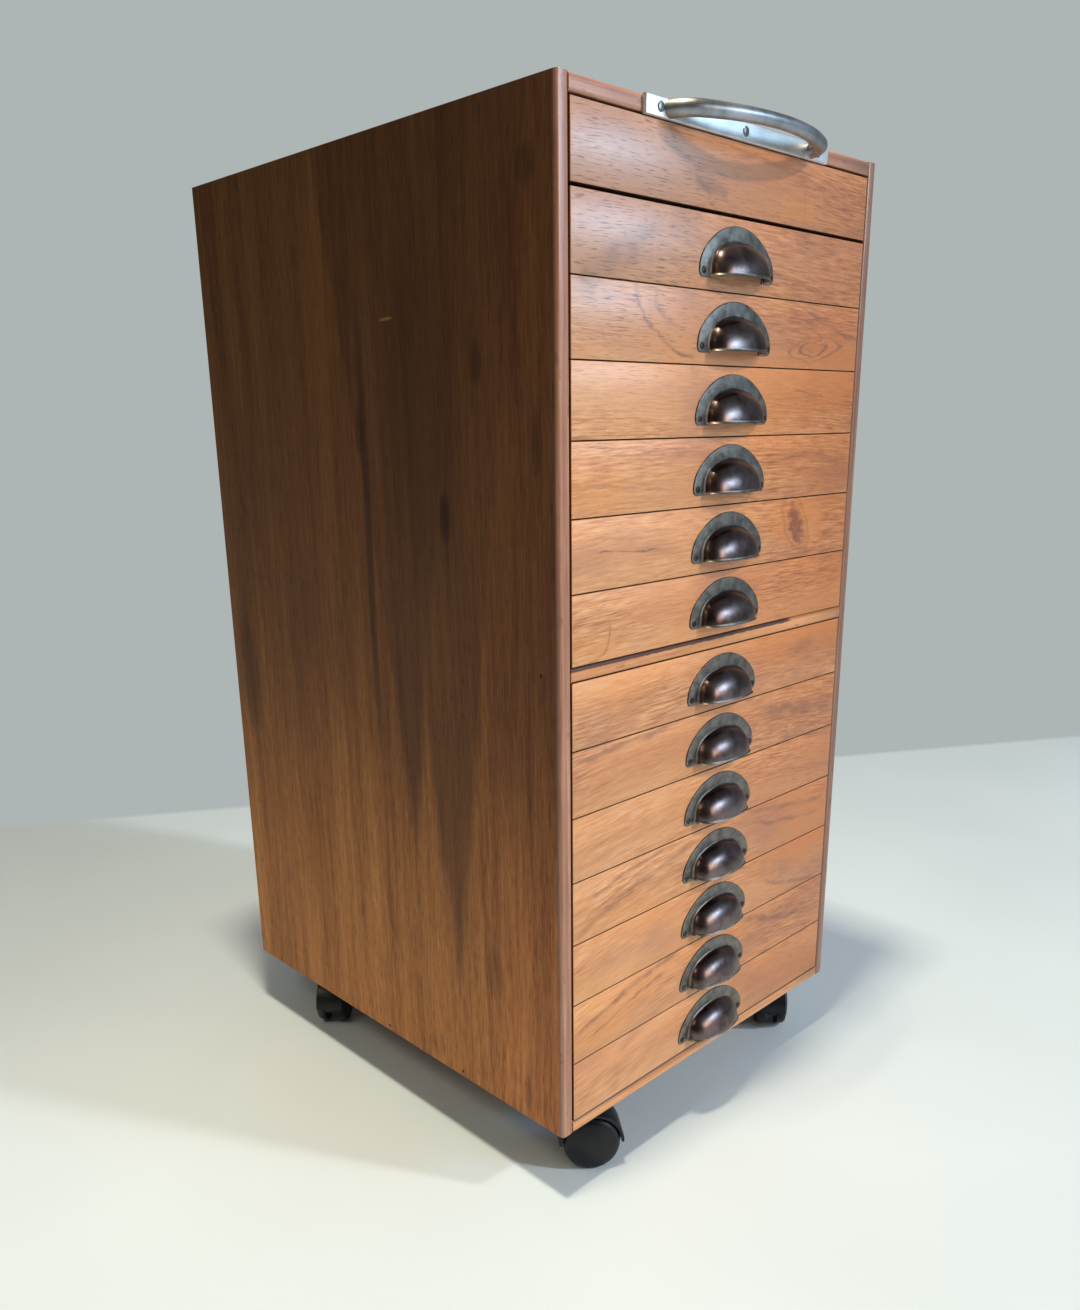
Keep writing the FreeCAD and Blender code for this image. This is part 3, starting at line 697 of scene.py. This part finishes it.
def steel(name, low, high, rough, seed, brush=None):
    """Bright metal: tone between LOW and HIGH, brushed along BRUSH where that is given."""
    s = Surface(name, Metallic=1.0)
    scaled = [value * (900 if brush and axis != brush else 40) for axis, value in s.axes.items()]
    lines = s.noise(*scaled)
    cloud = s.mottle(60, detail=3, rough=0.6, shift=seed)
    colour = s.ramp(cloud * 0.7 + lines * 0.3, [(0.36, low), (0.62, high)])
    return s.finish(Base_Color=colour, Roughness=rough - 0.06 + cloud * 0.10 + lines * 0.06,
                    Normal=s.bump(lines, 0.00002, 0.35))


def flange_steel():
    """Greyish steel of the pulls' flanges, darker brown round the rim's edge and in spots."""
    s = Surface("flange_steel", Metallic=1.0)
    cloud, spots = s.mottle(120, detail=4, rough=0.65), s.mottle(420)
    colour = s.ramp(cloud, [(0.35, rgb(98, 92, 86)), (0.62, rgb(136, 128, 120))])
    rim = (s.y - FRONT_Y).step(-0.0009, -0.0003)
    colour = s.mix(rim * 0.75 + spots.step(0.64, 0.74) * 0.35, colour, rgb(62, 50, 42))
    return s.finish(Base_Color=colour, Roughness=0.36 + cloud * 0.16,
                    Normal=s.bump(spots, 0.00003, 0.4))


def cup_bronze():
    """Brown patina over the cups."""
    s = Surface("cup_bronze", Metallic=1.0)
    cloud, fine = s.mottle(70, detail=4, rough=0.6), s.mottle(520)
    colour = s.ramp(cloud, [(0.35, rgb(84, 68, 66)), (0.62, rgb(124, 106, 104))])
    return s.finish(Base_Color=colour, Roughness=0.22 + cloud * 0.12 + fine * 0.05,
                    Normal=s.bump(fine, 0.00002, 0.3))


def black_nylon():
    """Glossy blue-black nylon with the faint mottling of a moulding."""
    s = Surface("black_nylon", Specular_IOR_Level=0.32)
    cloud, dust = s.mottle(90, detail=3), s.mottle(900)
    colour = s.ramp(cloud + dust.step(0.6, 0.75) * 0.12, [(0.40, rgb(10, 13, 18)),
                                                          (0.75, rgb(24, 27, 33))])
    return s.finish(Base_Color=colour, Roughness=0.32 + cloud * 0.16,
                    Normal=s.bump(dust, 0.00002, 0.3))


FRONT_VENEER = front_veneer()
SIDE_VENEER = side_veneer()
BOARD_VENEER = board_veneer()
BOX_WOOD = plain_wood("box_wood", "y", "z", 11.0)
BACK_WOOD = plain_wood("back_wood", "z", "x", 13.0)
PINKISH = rgb(124, 76, 56), rgb(166, 112, 86), rgb(196, 146, 118)
ORANGE = rgb(160, 96, 54), rgb(200, 134, 82), rgb(222, 162, 108)
UPRIGHT_EDGING = edging("upright_edging", "z", "x", PINKISH)
TOP_EDGING = edging("top_edging", "x", "z", PINKISH)
LEVEL_EDGING = edging("level_edging", "x", "z", ORANGE)
TORN_EDGING = edging("torn_edging", "x", "z", ORANGE, torn=True)
BOW_STEEL = steel("bow_steel", rgb(128, 130, 132), rgb(176, 178, 182), 0.42, 3.0)
PLATE_STEEL = steel("plate_steel", rgb(220, 224, 226), rgb(244, 246, 248), 0.46, 5.0, brush="x")
SCREW_STEEL = steel("screw_steel", rgb(110, 108, 104), rgb(168, 166, 160), 0.34, 7.0)
DARK_SCREW_STEEL = steel("dark_screw_steel", rgb(52, 46, 42), rgb(92, 84, 78), 0.36, 9.0)
ZINC = steel("zinc_plate", rgb(150, 152, 156), rgb(184, 188, 194), 0.36, 11.0)
FLANGE_STEEL = flange_steel()
CUP_BRONZE = cup_bronze()
BLACK_NYLON = black_nylon()


# Case and drawers: the boards keep their CAD meshes; fronts and edge strips get softer arrises

DRAWERS = range(1, 15)
FRONT_ARRIS = 0.4 * MM
STRIP_ARRIS = 2.2 * MM
STRIP_FOOT_ARRIS = 1.2 * MM

for node, surface in (("side_panel_left", SIDE_VENEER), ("side_panel_right", SIDE_VENEER),
                      ("top_panel", BOARD_VENEER), ("bottom_panel", BOARD_VENEER),
                      ("middle_shelf", BOARD_VENEER), ("back_panel", BACK_WOOD),
                      ("drawer_runners", BOX_WOOD), ("caster_plates", ZINC)):
    cover(frame["nodes"][node], surface)


def eased_front(number):
    """A drawer front with its sharp front arrises taken off."""
    node = "drawer_%02d_front" % number
    front = copied(frame["nodes"][node], "front_%02d" % number, Matrix())
    edit(front)
    tidy()
    bpy.ops.mesh.dissolve_limited(angle_limit=math.radians(1))
    bevel(lambda e: every(e, lambda p: p.y < FRONT_Y + NEAR), FRONT_ARRIS, 2)
    close()
    place(smooth(front, 50), "drawer_%02d" % number, "veneer_light", FRONT_VENEER, node)


for number in DRAWERS:
    eased_front(number)
    cover(frame["nodes"]["drawer_%02d_box" % number], BOX_WOOD)


def edge_strip(name, low, high, surface):
    """A strip between two corners, its front arrises rounded; an upright one is eased at its foot."""
    low, high = Vector(low), Vector(high)
    strip = block(name, (low + high) / 2, high - low)
    edit(strip)
    upright = high.z - low.z > high.x - low.x
    along = 2 if upright else 0
    bevel(lambda e: every(e, lambda p: p.y < FRONT_Y + MM)
          and abs(e.verts[0].co[along] - e.verts[1].co[along]) > MM, STRIP_ARRIS, 5)
    if upright:
        bevel(lambda e: every(e, lambda p: p.z < low.z + MM and p.y < FRONT_Y + 2.5 * MM),
              STRIP_FOOT_ARRIS, 3)
    close()
    place(smooth(strip, 50), "case", "solid_edging", surface, "front_lippings")


strip_back = FRONT_Y + LIPPING_DEPTH
inner_left = CASE_LEFT + BOARD
edge_strip("edging_left", (CASE_LEFT, FRONT_Y, CASE_BASE), (inner_left, strip_back, CASE_TOP),
           UPRIGHT_EDGING)
edge_strip("edging_right", (-inner_left, FRONT_Y, CASE_BASE), (-CASE_LEFT, strip_back, CASE_TOP),
           UPRIGHT_EDGING)
for name, top, surface in (("edging_top", CASE_TOP, TOP_EDGING),
                           ("edging_shelf", SHELF_TOP, TORN_EDGING),
                           ("edging_bottom", CASE_BASE + BOARD, LEVEL_EDGING)):
    edge_strip(name, (inner_left, FRONT_Y, top - BOARD), (-inner_left, strip_back, top), surface)


# Cup pulls, modelled about the pitch line under their front and the front's face

FLANGE_FACE = -1.0 * MM
FLANGE_RISE, FLANGE_SIDE_RADIUS = 29.8 * MM, 19.7 * MM
FLANGE_ROUND = 0.45 * MM
EAR_X, EAR_Z, EAR_RADIUS = 38.0 * MM, 12.1 * MM, 4.2 * MM
FLANGE_LOW = EAR_Z - EAR_RADIUS
HOLE_INSET = 1.4 * MM
CUP_LIP_Z = 8.9 * MM
SPRING_Z = 13.3 * MM
CUP_HALF = 29.7 * MM
CUP_RISE = 18.4 * MM
CUP_SIDE_RADIUS = 15.4 * MM
CUP_PROJECTION = 15.2 * MM
CUP_WALL = 0.9 * MM
CUP_FOOT_Y = FLANGE_FACE - 1.2 * MM
CUP_WALL_END_Z = CUP_LIP_Z + 2.4 * MM
CUP_MARGIN = 0.4 * MM
PULL_HEAD_RADIUS, PULL_HEAD_HEIGHT, PULL_SLOT = 2.3 * MM, 0.9 * MM, 0.5 * MM
HEAD_SUNK = 0.3 * MM
HEAD_FACETS = 28
SLOT_LEAN = math.radians(24)


def arch(half_width, rise, side_radius):
    """A three-centred arch.

    Gives its side centre, how far the middle centre lies below, and the lean where they meet.
    """
    side = half_width - side_radius
    below = (side ** 2 - (rise - side_radius) ** 2) / (2 * (rise - side_radius))
    return side, below, math.degrees(math.atan2(side, below))


def pull_flange():
    """The arched flange with an ear at each foot, open inside the cup."""
    side, below, lean = arch(EAR_X + EAR_RADIUS, FLANGE_RISE, FLANGE_SIDE_RADIUS)
    hole_side, hole_below, hole_lean = arch(CUP_HALF, CUP_RISE, CUP_SIDE_RADIUS)
    hole = CUP_HALF - HOLE_INSET
    moves = [(EAR_X, FLANGE_LOW), (EAR_X, EAR_Z, 90, 6), (side, EAR_Z, 90 - lean, 8),
             (0, EAR_Z - below, 2 * lean, 22), (-side, EAR_Z, 90 - lean, 8), (-EAR_X, EAR_Z, 90, 6),
             (-hole, FLANGE_LOW), (-hole, SPRING_Z), (-hole_side, SPRING_Z, hole_lean - 90, 8),
             (0, SPRING_Z - hole_below, -2 * hole_lean, 12),
             (hole_side, SPRING_Z, hole_lean - 90, 8), (hole, FLANGE_LOW)]
    outline((hole, FLANGE_LOW), moves, FLANGE_FACE)
    tidy()
    bpy.ops.mesh.edge_face_add()
    extrude((0, -FLANGE_FACE, 0))
    tidy()
    bevel(lambda e: every(e, lambda p: p.y < FLANGE_FACE + WELD) and len(e.link_faces) == 2,
          FLANGE_ROUND, 3)
    return smooth(close(), 40)


def pull_cup():
    """The cup: its arch spun forward about the lip's line and given a wall, then drawn out.

    The foot is drawn out towards the flange and the lip downwards, each in a few widening steps.
    """
    side, below, lean = arch(CUP_HALF, CUP_RISE, CUP_SIDE_RADIUS)
    moves = [(CUP_HALF, SPRING_Z), (side, SPRING_Z, 90 - lean, 10),
             (0, SPRING_Z - below, 2 * lean, 16), (-side, SPRING_Z, 90 - lean, 10),
             (-CUP_HALF, CUP_LIP_Z)]
    cup = outline((CUP_HALF, CUP_LIP_Z), moves, 0.0)
    pick_all()
    turn(90, (0, 0, CUP_LIP_Z), X, 18)
    tidy()
    pick_all()
    resize((1, CUP_PROJECTION / (SPRING_Z + CUP_RISE - CUP_LIP_Z), 1), (0, 0, 0))
    cut((0, CUP_FOOT_Y, 0), Y, clear_outer=True)
    cut((0, 0, CUP_WALL_END_Z), Z, clear_inner=True)
    tidy()
    close()
    modify(cup, "SOLIDIFY", thickness=CUP_WALL, offset=-1)
    cup.data.materials.append(CUP_BRONZE)
    cup.data.materials.append(FLANGE_STEEL)
    edit(cup)
    centre = (0, 0, CUP_WALL_END_Z)
    pick(lambda f: f.normal.y > 0.8 and every(f, lambda p: p.y > CUP_FOOT_Y - CUP_MARGIN))
    for wider, back in ((1.008, 0.45), (1.018, 0.40), (1.026, 0.30), (1.012, 0.20)):
        extrude((0, back * MM, 0))
        resize((wider, 1, wider), centre)
    pick(lambda f: f.normal.z < -0.8 and every(f, lambda p: p.z < CUP_WALL_END_Z + CUP_MARGIN))
    for wider, down in ((1.001, 0.6), (1.006, 0.6), (1.014, 0.6), (1.018, 0.4), (1.006, 0.2)):
        extrude((0, 0, -down * MM))
        resize((wider, wider, 1), centre)
    tidy()
    pick(lambda f: every(f, lambda p: p.z < CUP_WALL_END_Z - CUP_MARGIN)
         or every(f, lambda p: p.y > CUP_FOOT_Y + CUP_MARGIN))
    cup.active_material_index = 1
    bpy.ops.object.material_slot_assign()
    close()
    return smooth(cup, 50)


def slotted_head(radius, height, slot, centre):
    """A screw head facing -Y on the face at CENTRE, domed at its rim, with a sawn slot."""
    head = rod("head", centre - Y * (height / 2 - HEAD_SUNK), radius, height,
               HEAD_FACETS, LAID_ALONG_Y)
    edit(head)
    bevel(lambda e: every(e, lambda p: p.y < centre.y - height + HEAD_SUNK + WELD), radius / 4, 3)
    close()
    saw(head, centre - Y * height, (slot, height, 2.4 * radius), (0, SLOT_LEAN, 0))
    return smooth(head, 30)


flange_model, cup_model = pull_flange(), pull_cup()
heads_model = join("heads", *[
    slotted_head(PULL_HEAD_RADIUS, PULL_HEAD_HEIGHT, PULL_SLOT, Vector((x, FLANGE_FACE, EAR_Z)))
    for x in (-EAR_X, EAR_X)])
for number in DRAWERS[1:]:
    node = "drawer_%02d_pull" % number
    shift = Matrix.Translation((0, FRONT_Y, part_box(node)[0].z - FLANGE_LOW))
    for model, part, surface in ((flange_model, "flange", FLANGE_STEEL), (cup_model, "cup", None),
                                 (heads_model, "screws", DARK_SCREW_STEEL)):
        piece = copied(model, "pull_%02d_%s" % (number, part), shift)
        place(piece, "drawer_%02d" % number, "pull_steel", surface, node)
drop(flange_model, cup_model, heads_model)


# Bow handle: a plate on the top board's edge, a bar that swings out from it, and three screws

PLATE_LONG, PLATE_THICK, PLATE_HIGH = 202 * MM, 3 * MM, 11 * MM
PLATE_FACE = FRONT_Y - PLATE_THICK
PLATE_MIDDLE = CASE_TOP - PLATE_HIGH / 2
PLATE_ROUND = 0.5 * MM
PLATE_SCREW_X = 87.5 * MM
PLATE_HEAD_RADIUS, PLATE_HEAD_HEIGHT, PLATE_SLOT = 3.2 * MM, 1.1 * MM, 0.8 * MM
BOW_HALF_SPAN = 78.5 * MM
BOW_BEND = 22 * MM
BOW_FOOT_ANGLE, BOW_SHOULDER_ANGLE = 75.0, 25.0
BOW_LEVEL = PLATE_MIDDLE + 0.1 * MM
BOW_STUB = 3 * MM
BAR_END, BAR_MIDDLE = 5.4 * MM, 4.4 * MM
BAR_FACETS = 28


def handle_plate():
    plate = block("handle_plate", (0, FRONT_Y - PLATE_THICK / 2, PLATE_MIDDLE),
                  (PLATE_LONG, PLATE_THICK, PLATE_HIGH))
    edit(plate)
    bevel(lambda e: every(e, lambda p: p.y < PLATE_FACE + NEAR), PLATE_ROUND, 3)
    close()
    return smooth(plate, 40)


def handle_bow():
    """A ring of the bar extruded and spun along its path in plan, then thinned to the middle."""
    foot_cos, foot_sin = cos_sin(BOW_FOOT_ANGLE)
    shoulder_cos, shoulder_sin = cos_sin(BOW_SHOULDER_ANGLE)
    radius = (BOW_HALF_SPAN - BOW_BEND * (foot_sin - shoulder_sin)) / shoulder_sin
    rise = BOW_BEND * (shoulder_cos - foot_cos) + radius * (1 - shoulder_cos)
    start = Vector((-BOW_HALF_SPAN, PLATE_FACE, BOW_LEVEL))
    heading = Vector((foot_cos, -foot_sin, 0))
    bow = begin(bpy.ops.mesh.primitive_circle_add, "handle_bow", vertices=BAR_FACETS, radius=BAR_END,
                location=start - heading * BOW_STUB,
                rotation=(QUARTER, 0, math.radians(90 - BOW_FOOT_ANGLE)))
    edit(bow, "VERT")
    pick_all()
    extrude(heading * BOW_STUB)
    left_bend = start + Vector((foot_sin, foot_cos, 0)) * BOW_BEND
    right_bend = Vector((-left_bend.x, left_bend.y, BOW_LEVEL))
    turn(BOW_FOOT_ANGLE - BOW_SHOULDER_ANGLE, left_bend, Z, 9)
    turn(2 * BOW_SHOULDER_ANGLE, Vector((0, PLATE_FACE - rise + radius, BOW_LEVEL)), Z, 22)
    turn(BOW_FOOT_ANGLE - BOW_SHOULDER_ANGLE, right_bend, Z, 9)
    extrude(Vector((foot_cos, foot_sin, 0)) * BOW_STUB)
    rings = len(bmesh.from_edit_mesh(bow.data).verts) // BAR_FACETS
    for number in range(rings):
        mesh = bmesh.from_edit_mesh(bow.data)
        mesh.verts.ensure_lookup_table()
        ring = range(number * BAR_FACETS, (number + 1) * BAR_FACETS)
        centre = sum((mesh.verts[i].co for i in ring), Vector()) / BAR_FACETS
        towards_end = min(abs(centre.x) / BOW_HALF_SPAN, 1) ** 2
        thinner = 1 - (1 - BAR_MIDDLE / BAR_END) * (1 - towards_end)
        pick(lambda v: v.index in ring, "VERT")
        resize((thinner,) * 3, centre)
    cut((0, PLATE_FACE + 0.2 * MM, 0), Y, clear_outer=True, use_fill=True)
    tidy()
    close()
    return smooth(bow, 60)


place(handle_plate(), "case", "satin_steel", PLATE_STEEL, "handle")
place(handle_bow(), "case", "satin_steel", BOW_STEEL, "handle")
plate_heads = join("handle_screws", *[
    slotted_head(PLATE_HEAD_RADIUS, PLATE_HEAD_HEIGHT, PLATE_SLOT,
                 Vector((x, PLATE_FACE, PLATE_MIDDLE)))
    for x in (-PLATE_SCREW_X, 0.0, PLATE_SCREW_X)])
place(plate_heads, "case", "screw_steel", SCREW_STEEL, "case_screws")


# Casters, modelled about their swivel axis with the wheels trailing towards +X, then turned into place

AXLE_CENTRE = Vector((13.0, 0, 22.0)) * MM
AXLE_RADIUS, AXLE_LONG = 2.5 * MM, 10.6 * MM
PLATE_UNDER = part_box("caster_plates")[1][2] - 2.5 * MM
HOOD_TOP = PLATE_UNDER - 0.3 * MM
WEB_RADIUS, WEB_THICK, WEB_ROUND = 23.6 * MM, 9.4 * MM, 0.5 * MM
WEB_FOOT = AXLE_CENTRE.z - 4 * MM
BOSS_RADIUS, BOSS_FOOT, BOSS_ROUND = 8 * MM, 30 * MM, 0.6 * MM

# In millimetres: a wheel's rim as (distance along the axle, radius), and the crown inside it
WHEEL_RIM = [(12.9, 20.9), (11.4, 21.7), (9.8, 22.0), (6.2, 22.0), (5.5, 21.5), (5.3, 20.6), (5.3, 0.0)]
CROWN_FACE, CROWN_RADIUS = 17.0, 62
CROWN_STEPS = (0.0, 3, 6, 9, 12, 15, 17.5, 19.4)
FENDER_HALF, FENDER_INNER, FENDER_OUTER, FENDER_ROUND = 12.5, 23.2, 25.4, 0.9

SCREW_OFFSET = 13.5 * MM
SCREW_RADIUS, SCREW_HEIGHT, SCREW_DOME = 3 * MM, 1.8 * MM, 0.9 * MM
RECESS = (0.7 * MM, 3.4 * MM, 1.6 * MM)


def lathe(name, profile, centre, steps):
    """A profile of (distance along Y, radius) points spun once round a level axis through CENTRE."""
    wire([centre + Vector((0, along, radius)) * MM for along, radius in profile])
    pick_all()
    turn(360, centre, Y, steps)
    tidy()
    piece = close()
    piece.name = piece.data.name = name
    return piece


def rounded(points, corner, radius):
    """POINTS with corner number CORNER replaced by an arc's points."""
    steps = 4
    before, at, after = (Vector(points[corner + i]) for i in (-1, 0, 1))
    arms = [(before - at).normalized(), (after - at).normalized()]
    half = arms[0].angle(arms[1]) / 2
    reach = radius / math.tan(half)
    centre = at + (arms[0] + arms[1]).normalized() * (radius / math.sin(half))
    first, last = at + arms[0] * reach, at + arms[1] * reach
    made = []
    for step in range(steps + 1):
        point = first.lerp(last, step / steps)
        made.append(tuple(centre + (point - centre).normalized() * radius))
    return points[:corner] + made + points[corner + 1:]


def wheel_pair():
    """Two domed wheels and the axle between them."""
    crown = [(CROWN_FACE - (CROWN_RADIUS - math.sqrt(CROWN_RADIUS ** 2 - r ** 2)), r)
             for r in CROWN_STEPS]
    right = lathe("wheel", crown + WHEEL_RIM, AXLE_CENTRE, 56)
    left = copied(right, "wheel_left", Matrix.Scale(-1, 4, Y))
    axle = rod("axle", AXLE_CENTRE, AXLE_RADIUS, AXLE_LONG, 24, LAID_ALONG_Y)
    return smooth(join("wheels", right, left, axle), 45)


def fender():
    """A band bent over the wheels, its outer arrises rounded."""
    section = [(-FENDER_HALF, FENDER_INNER), (-FENDER_HALF, FENDER_OUTER),
               (FENDER_HALF, FENDER_OUTER), (FENDER_HALF, FENDER_INNER)]
    section = rounded(rounded(section, 2, FENDER_ROUND), 1, FENDER_ROUND)
    wire([AXLE_CENTRE + Vector((radius, along, 0)) * MM for along, radius in section + section[:1]])
    pick_all()
    turn(-180, AXLE_CENTRE, Y, 40)
    tidy()
    for side in (1, -1):
        pick(lambda e: len(e.link_faces) == 1
             and every(e, lambda p: (p.x - AXLE_CENTRE.x) * side > 0), "EDGE")
        bpy.ops.mesh.edge_face_add()
    tidy()
    return close()


def hood():
    """Fender over the wheels, the web between them and the boss round the swivel pin."""
    over = fender()
    web = rod("web", AXLE_CENTRE, WEB_RADIUS, WEB_THICK, 64, LAID_ALONG_Y)
    edit(web)
    cut((0, 0, WEB_FOOT), Z, clear_inner=True, use_fill=True)
    bevel(lambda e: every(e, lambda p: abs(abs(p.y) - WEB_THICK / 2) < WELD)
          and len(e.link_faces) == 2, WEB_ROUND, 2)
    close()
    boss = rod("boss", (0, 0, (HOOD_TOP + BOSS_FOOT) / 2), BOSS_RADIUS, HOOD_TOP - BOSS_FOOT, 36)
    edit(boss)
    bevel(lambda e: every(e, lambda p: p.z > HOOD_TOP - NEAR), BOSS_ROUND, 3)
    close()
    return smooth(join("hood", over, web, boss), 40)


def joint_place(name):
    return Vector(next(j for j in frame["joints"] if j["name"] == name)["pos_m"])


wheels_model, hood_model = wheel_pair(), hood()
for name in ("front_left", "front_right", "back_left", "back_right"):
    stem, axle = joint_place(name + "_swivel_turn"), joint_place(name + "_wheel_spin")
    trail = math.atan2(axle.y - stem.y, axle.x - stem.x)
    seat = Matrix.Translation((stem.x, stem.y, 0)) @ Matrix.Rotation(trail, 4, "Z")
    place(copied(wheels_model, "caster_wheels_" + name, seat), name + "_roll", "black_plastic",
          BLACK_NYLON, "caster_%s_wheels" % name)
    place(copied(hood_model, "caster_hood_" + name, seat), name + "_swivel", "black_plastic",
          BLACK_NYLON, "caster_%s_hood" % name)
drop(wheels_model, hood_model)


def caster_screw():
    """A round head under the plate with a cross recess."""
    under = Z * PLATE_UNDER
    head = rod("head", under - Z * (SCREW_HEIGHT / 2), SCREW_RADIUS, SCREW_HEIGHT, 24)
    edit(head)
    bevel(lambda e: every(e, lambda p: p.z < PLATE_UNDER - SCREW_HEIGHT + NEAR), SCREW_DOME, 3)
    close()
    for angle in (0, QUARTER):
        saw(head, under - Z * (2.0 * MM), RECESS, (0, 0, angle))
    return smooth(head, 30)


screw_model = caster_screw()
screws = []
for joint in frame["joints"]:
    if joint["name"].endswith("_swivel_turn"):
        stem = Vector(joint["pos_m"])
        for x in (-SCREW_OFFSET, SCREW_OFFSET):
            for y in (-SCREW_OFFSET, SCREW_OFFSET):
                seat = Matrix.Translation((stem.x + x, stem.y + y, 0))
                screws.append(copied(screw_model, "screw", seat))
drop(screw_model)
place(join("caster_screws", *screws), "case", "screw_steel", SCREW_STEEL, "case_screws")


# Floor, backdrop and light

BACKDROP = rgb(174, 181, 181)

# The floor's far edge: which way it lies from the origin, in x and y, and how far
FAR_EDGE = (0.5245, 0.8513), 0.684


def floor():
    """A pale floor to a straight far edge, past which camera and gloss see the backdrop's colour."""
    disc = begin(bpy.ops.mesh.primitive_circle_add, "floor", vertices=96, radius=7, fill_type="NGON")
    s = Surface("floor_white", Roughness=0.5)
    (across, away), distance = FAR_EDGE
    beyond = (s.x * across + s.y * away).step(distance, distance + 0.02)
    cloud = s.noise(s.x * 3, s.y * 3, 0.0)
    s.finish(Base_Color=s.ramp(cloud, [(0.3, rgb(190, 202, 212)), (0.7, rgb(196, 208, 218))]))
    lit = Value(s, s.shader.outputs[0])
    glow = s.node("ShaderNodeEmission", None, Color=(*BACKDROP, 1))
    seen = s.larger(s.rays("Camera"), s.rays("Glossy"))
    both = s.node("ShaderNodeMixShader", None, beyond * seen, lit, glow)
    s.tree.links.new(both.socket, s.tree.nodes["Material Output"].inputs[0])
    disc.data.materials.append(s.material)


def studio():
    """Backdrop for the camera; light and gloss get a room, bright on the right and dim on the left."""
    world = bpy.data.worlds.new("studio")
    bpy.context.scene.world = world
    world.use_nodes = True
    s = Nodes(world.node_tree)
    s.tree.nodes.clear()
    x, y, z = s.split(s.node("ShaderNodeTexCoord", output="Generated"))
    side = (x * 0.85 - y * 0.30 + z * 0.30).step(-0.35, 0.85)
    level = (0.08 + side * 0.44) * (1.0 - s.rays("Glossy") * 0.62)
    tint = s.mix(side, (1.0, 0.86, 0.70), (0.74, 0.90, 1.0))
    room = s.node("ShaderNodeBackground", None, tint, level)
    wall = s.node("ShaderNodeBackground", None, (*BACKDROP, 1), 1.0)
    both = s.node("ShaderNodeMixShader", None, s.rays("Camera"), room, wall)
    s.node("ShaderNodeOutputWorld", None, both)


def area_light(name, where, target, size, power, colour, spread=180, gloss=True):
    data = bpy.data.lights.new(name, "AREA")
    data.shape, data.size, data.size_y = "RECTANGLE", *size
    data.energy, data.color, data.spread = power, colour, math.radians(spread)
    lamp = bpy.data.objects.new(name, data)
    lamp.location = where
    lamp.rotation_euler = (Vector(target) - Vector(where)).to_track_quat("-Z", "Y").to_euler()
    lamp.visible_camera, lamp.visible_glossy = False, gloss
    bpy.context.collection.objects.link(lamp)


floor()
studio()
area_light("key", (1.62, -3.36, 3.09), (0, -0.19, 0.5), (0.26, 0.26), 98, (1.0, 0.92, 0.81),
           gloss=False)
area_light("left_front", (0.75, -3.30, 1.20), (0, -0.19, 0.4), (0.9, 0.9), 20, (1.0, 0.82, 0.64))
area_light("window", (1.55, -2.90, 1.48), (-0.1, -0.19, 0.66), (0.65, 0.55), 38, (0.44, 0.72, 1.0))
area_light("overhead", (-0.33, -0.20, 2.5), (-0.33, -0.20, 0.0), (0.2, 0.2), 54, (1.0, 0.87, 0.64))
area_light("left_glow", (-1.0, -0.1, 1.1), (-0.35, 0.0, 0.0), (0.4, 0.4), 0.8, (1.0, 0.86, 0.64), 70)


# Camera, found from the photographed case's corners; its lens and shift in pixels of the photograph

SENSOR = 36
PHOTO_HEIGHT = 1310
FOCAL_PIXELS = 1070.6
SHIFT_PIXELS = (-3.1, 80.8)

camera_data = bpy.data.cameras.new("camera")
camera_data.sensor_width = SENSOR
camera_data.lens = FOCAL_PIXELS * SENSOR / PHOTO_HEIGHT
camera_data.shift_x, camera_data.shift_y = (pixels / PHOTO_HEIGHT for pixels in SHIFT_PIXELS)
camera_data.clip_start, camera_data.clip_end = 0.05, 60
camera = bpy.data.objects.new("camera", camera_data)
right, up = Vector((0.7129, -0.70117, -0.01151)), Vector((0.20514, 0.19281, 0.95955))
ahead = Vector((0.67059, 0.68643, -0.28129))
turned = Matrix((right, up, -ahead)).transposed().to_4x4()
camera.matrix_world = Matrix.Translation((-0.64844, -0.6609, 0.55687)) @ turned
bpy.context.collection.objects.link(camera)
bpy.context.scene.camera = camera
bpy.context.scene.view_settings.view_transform = "Standard"
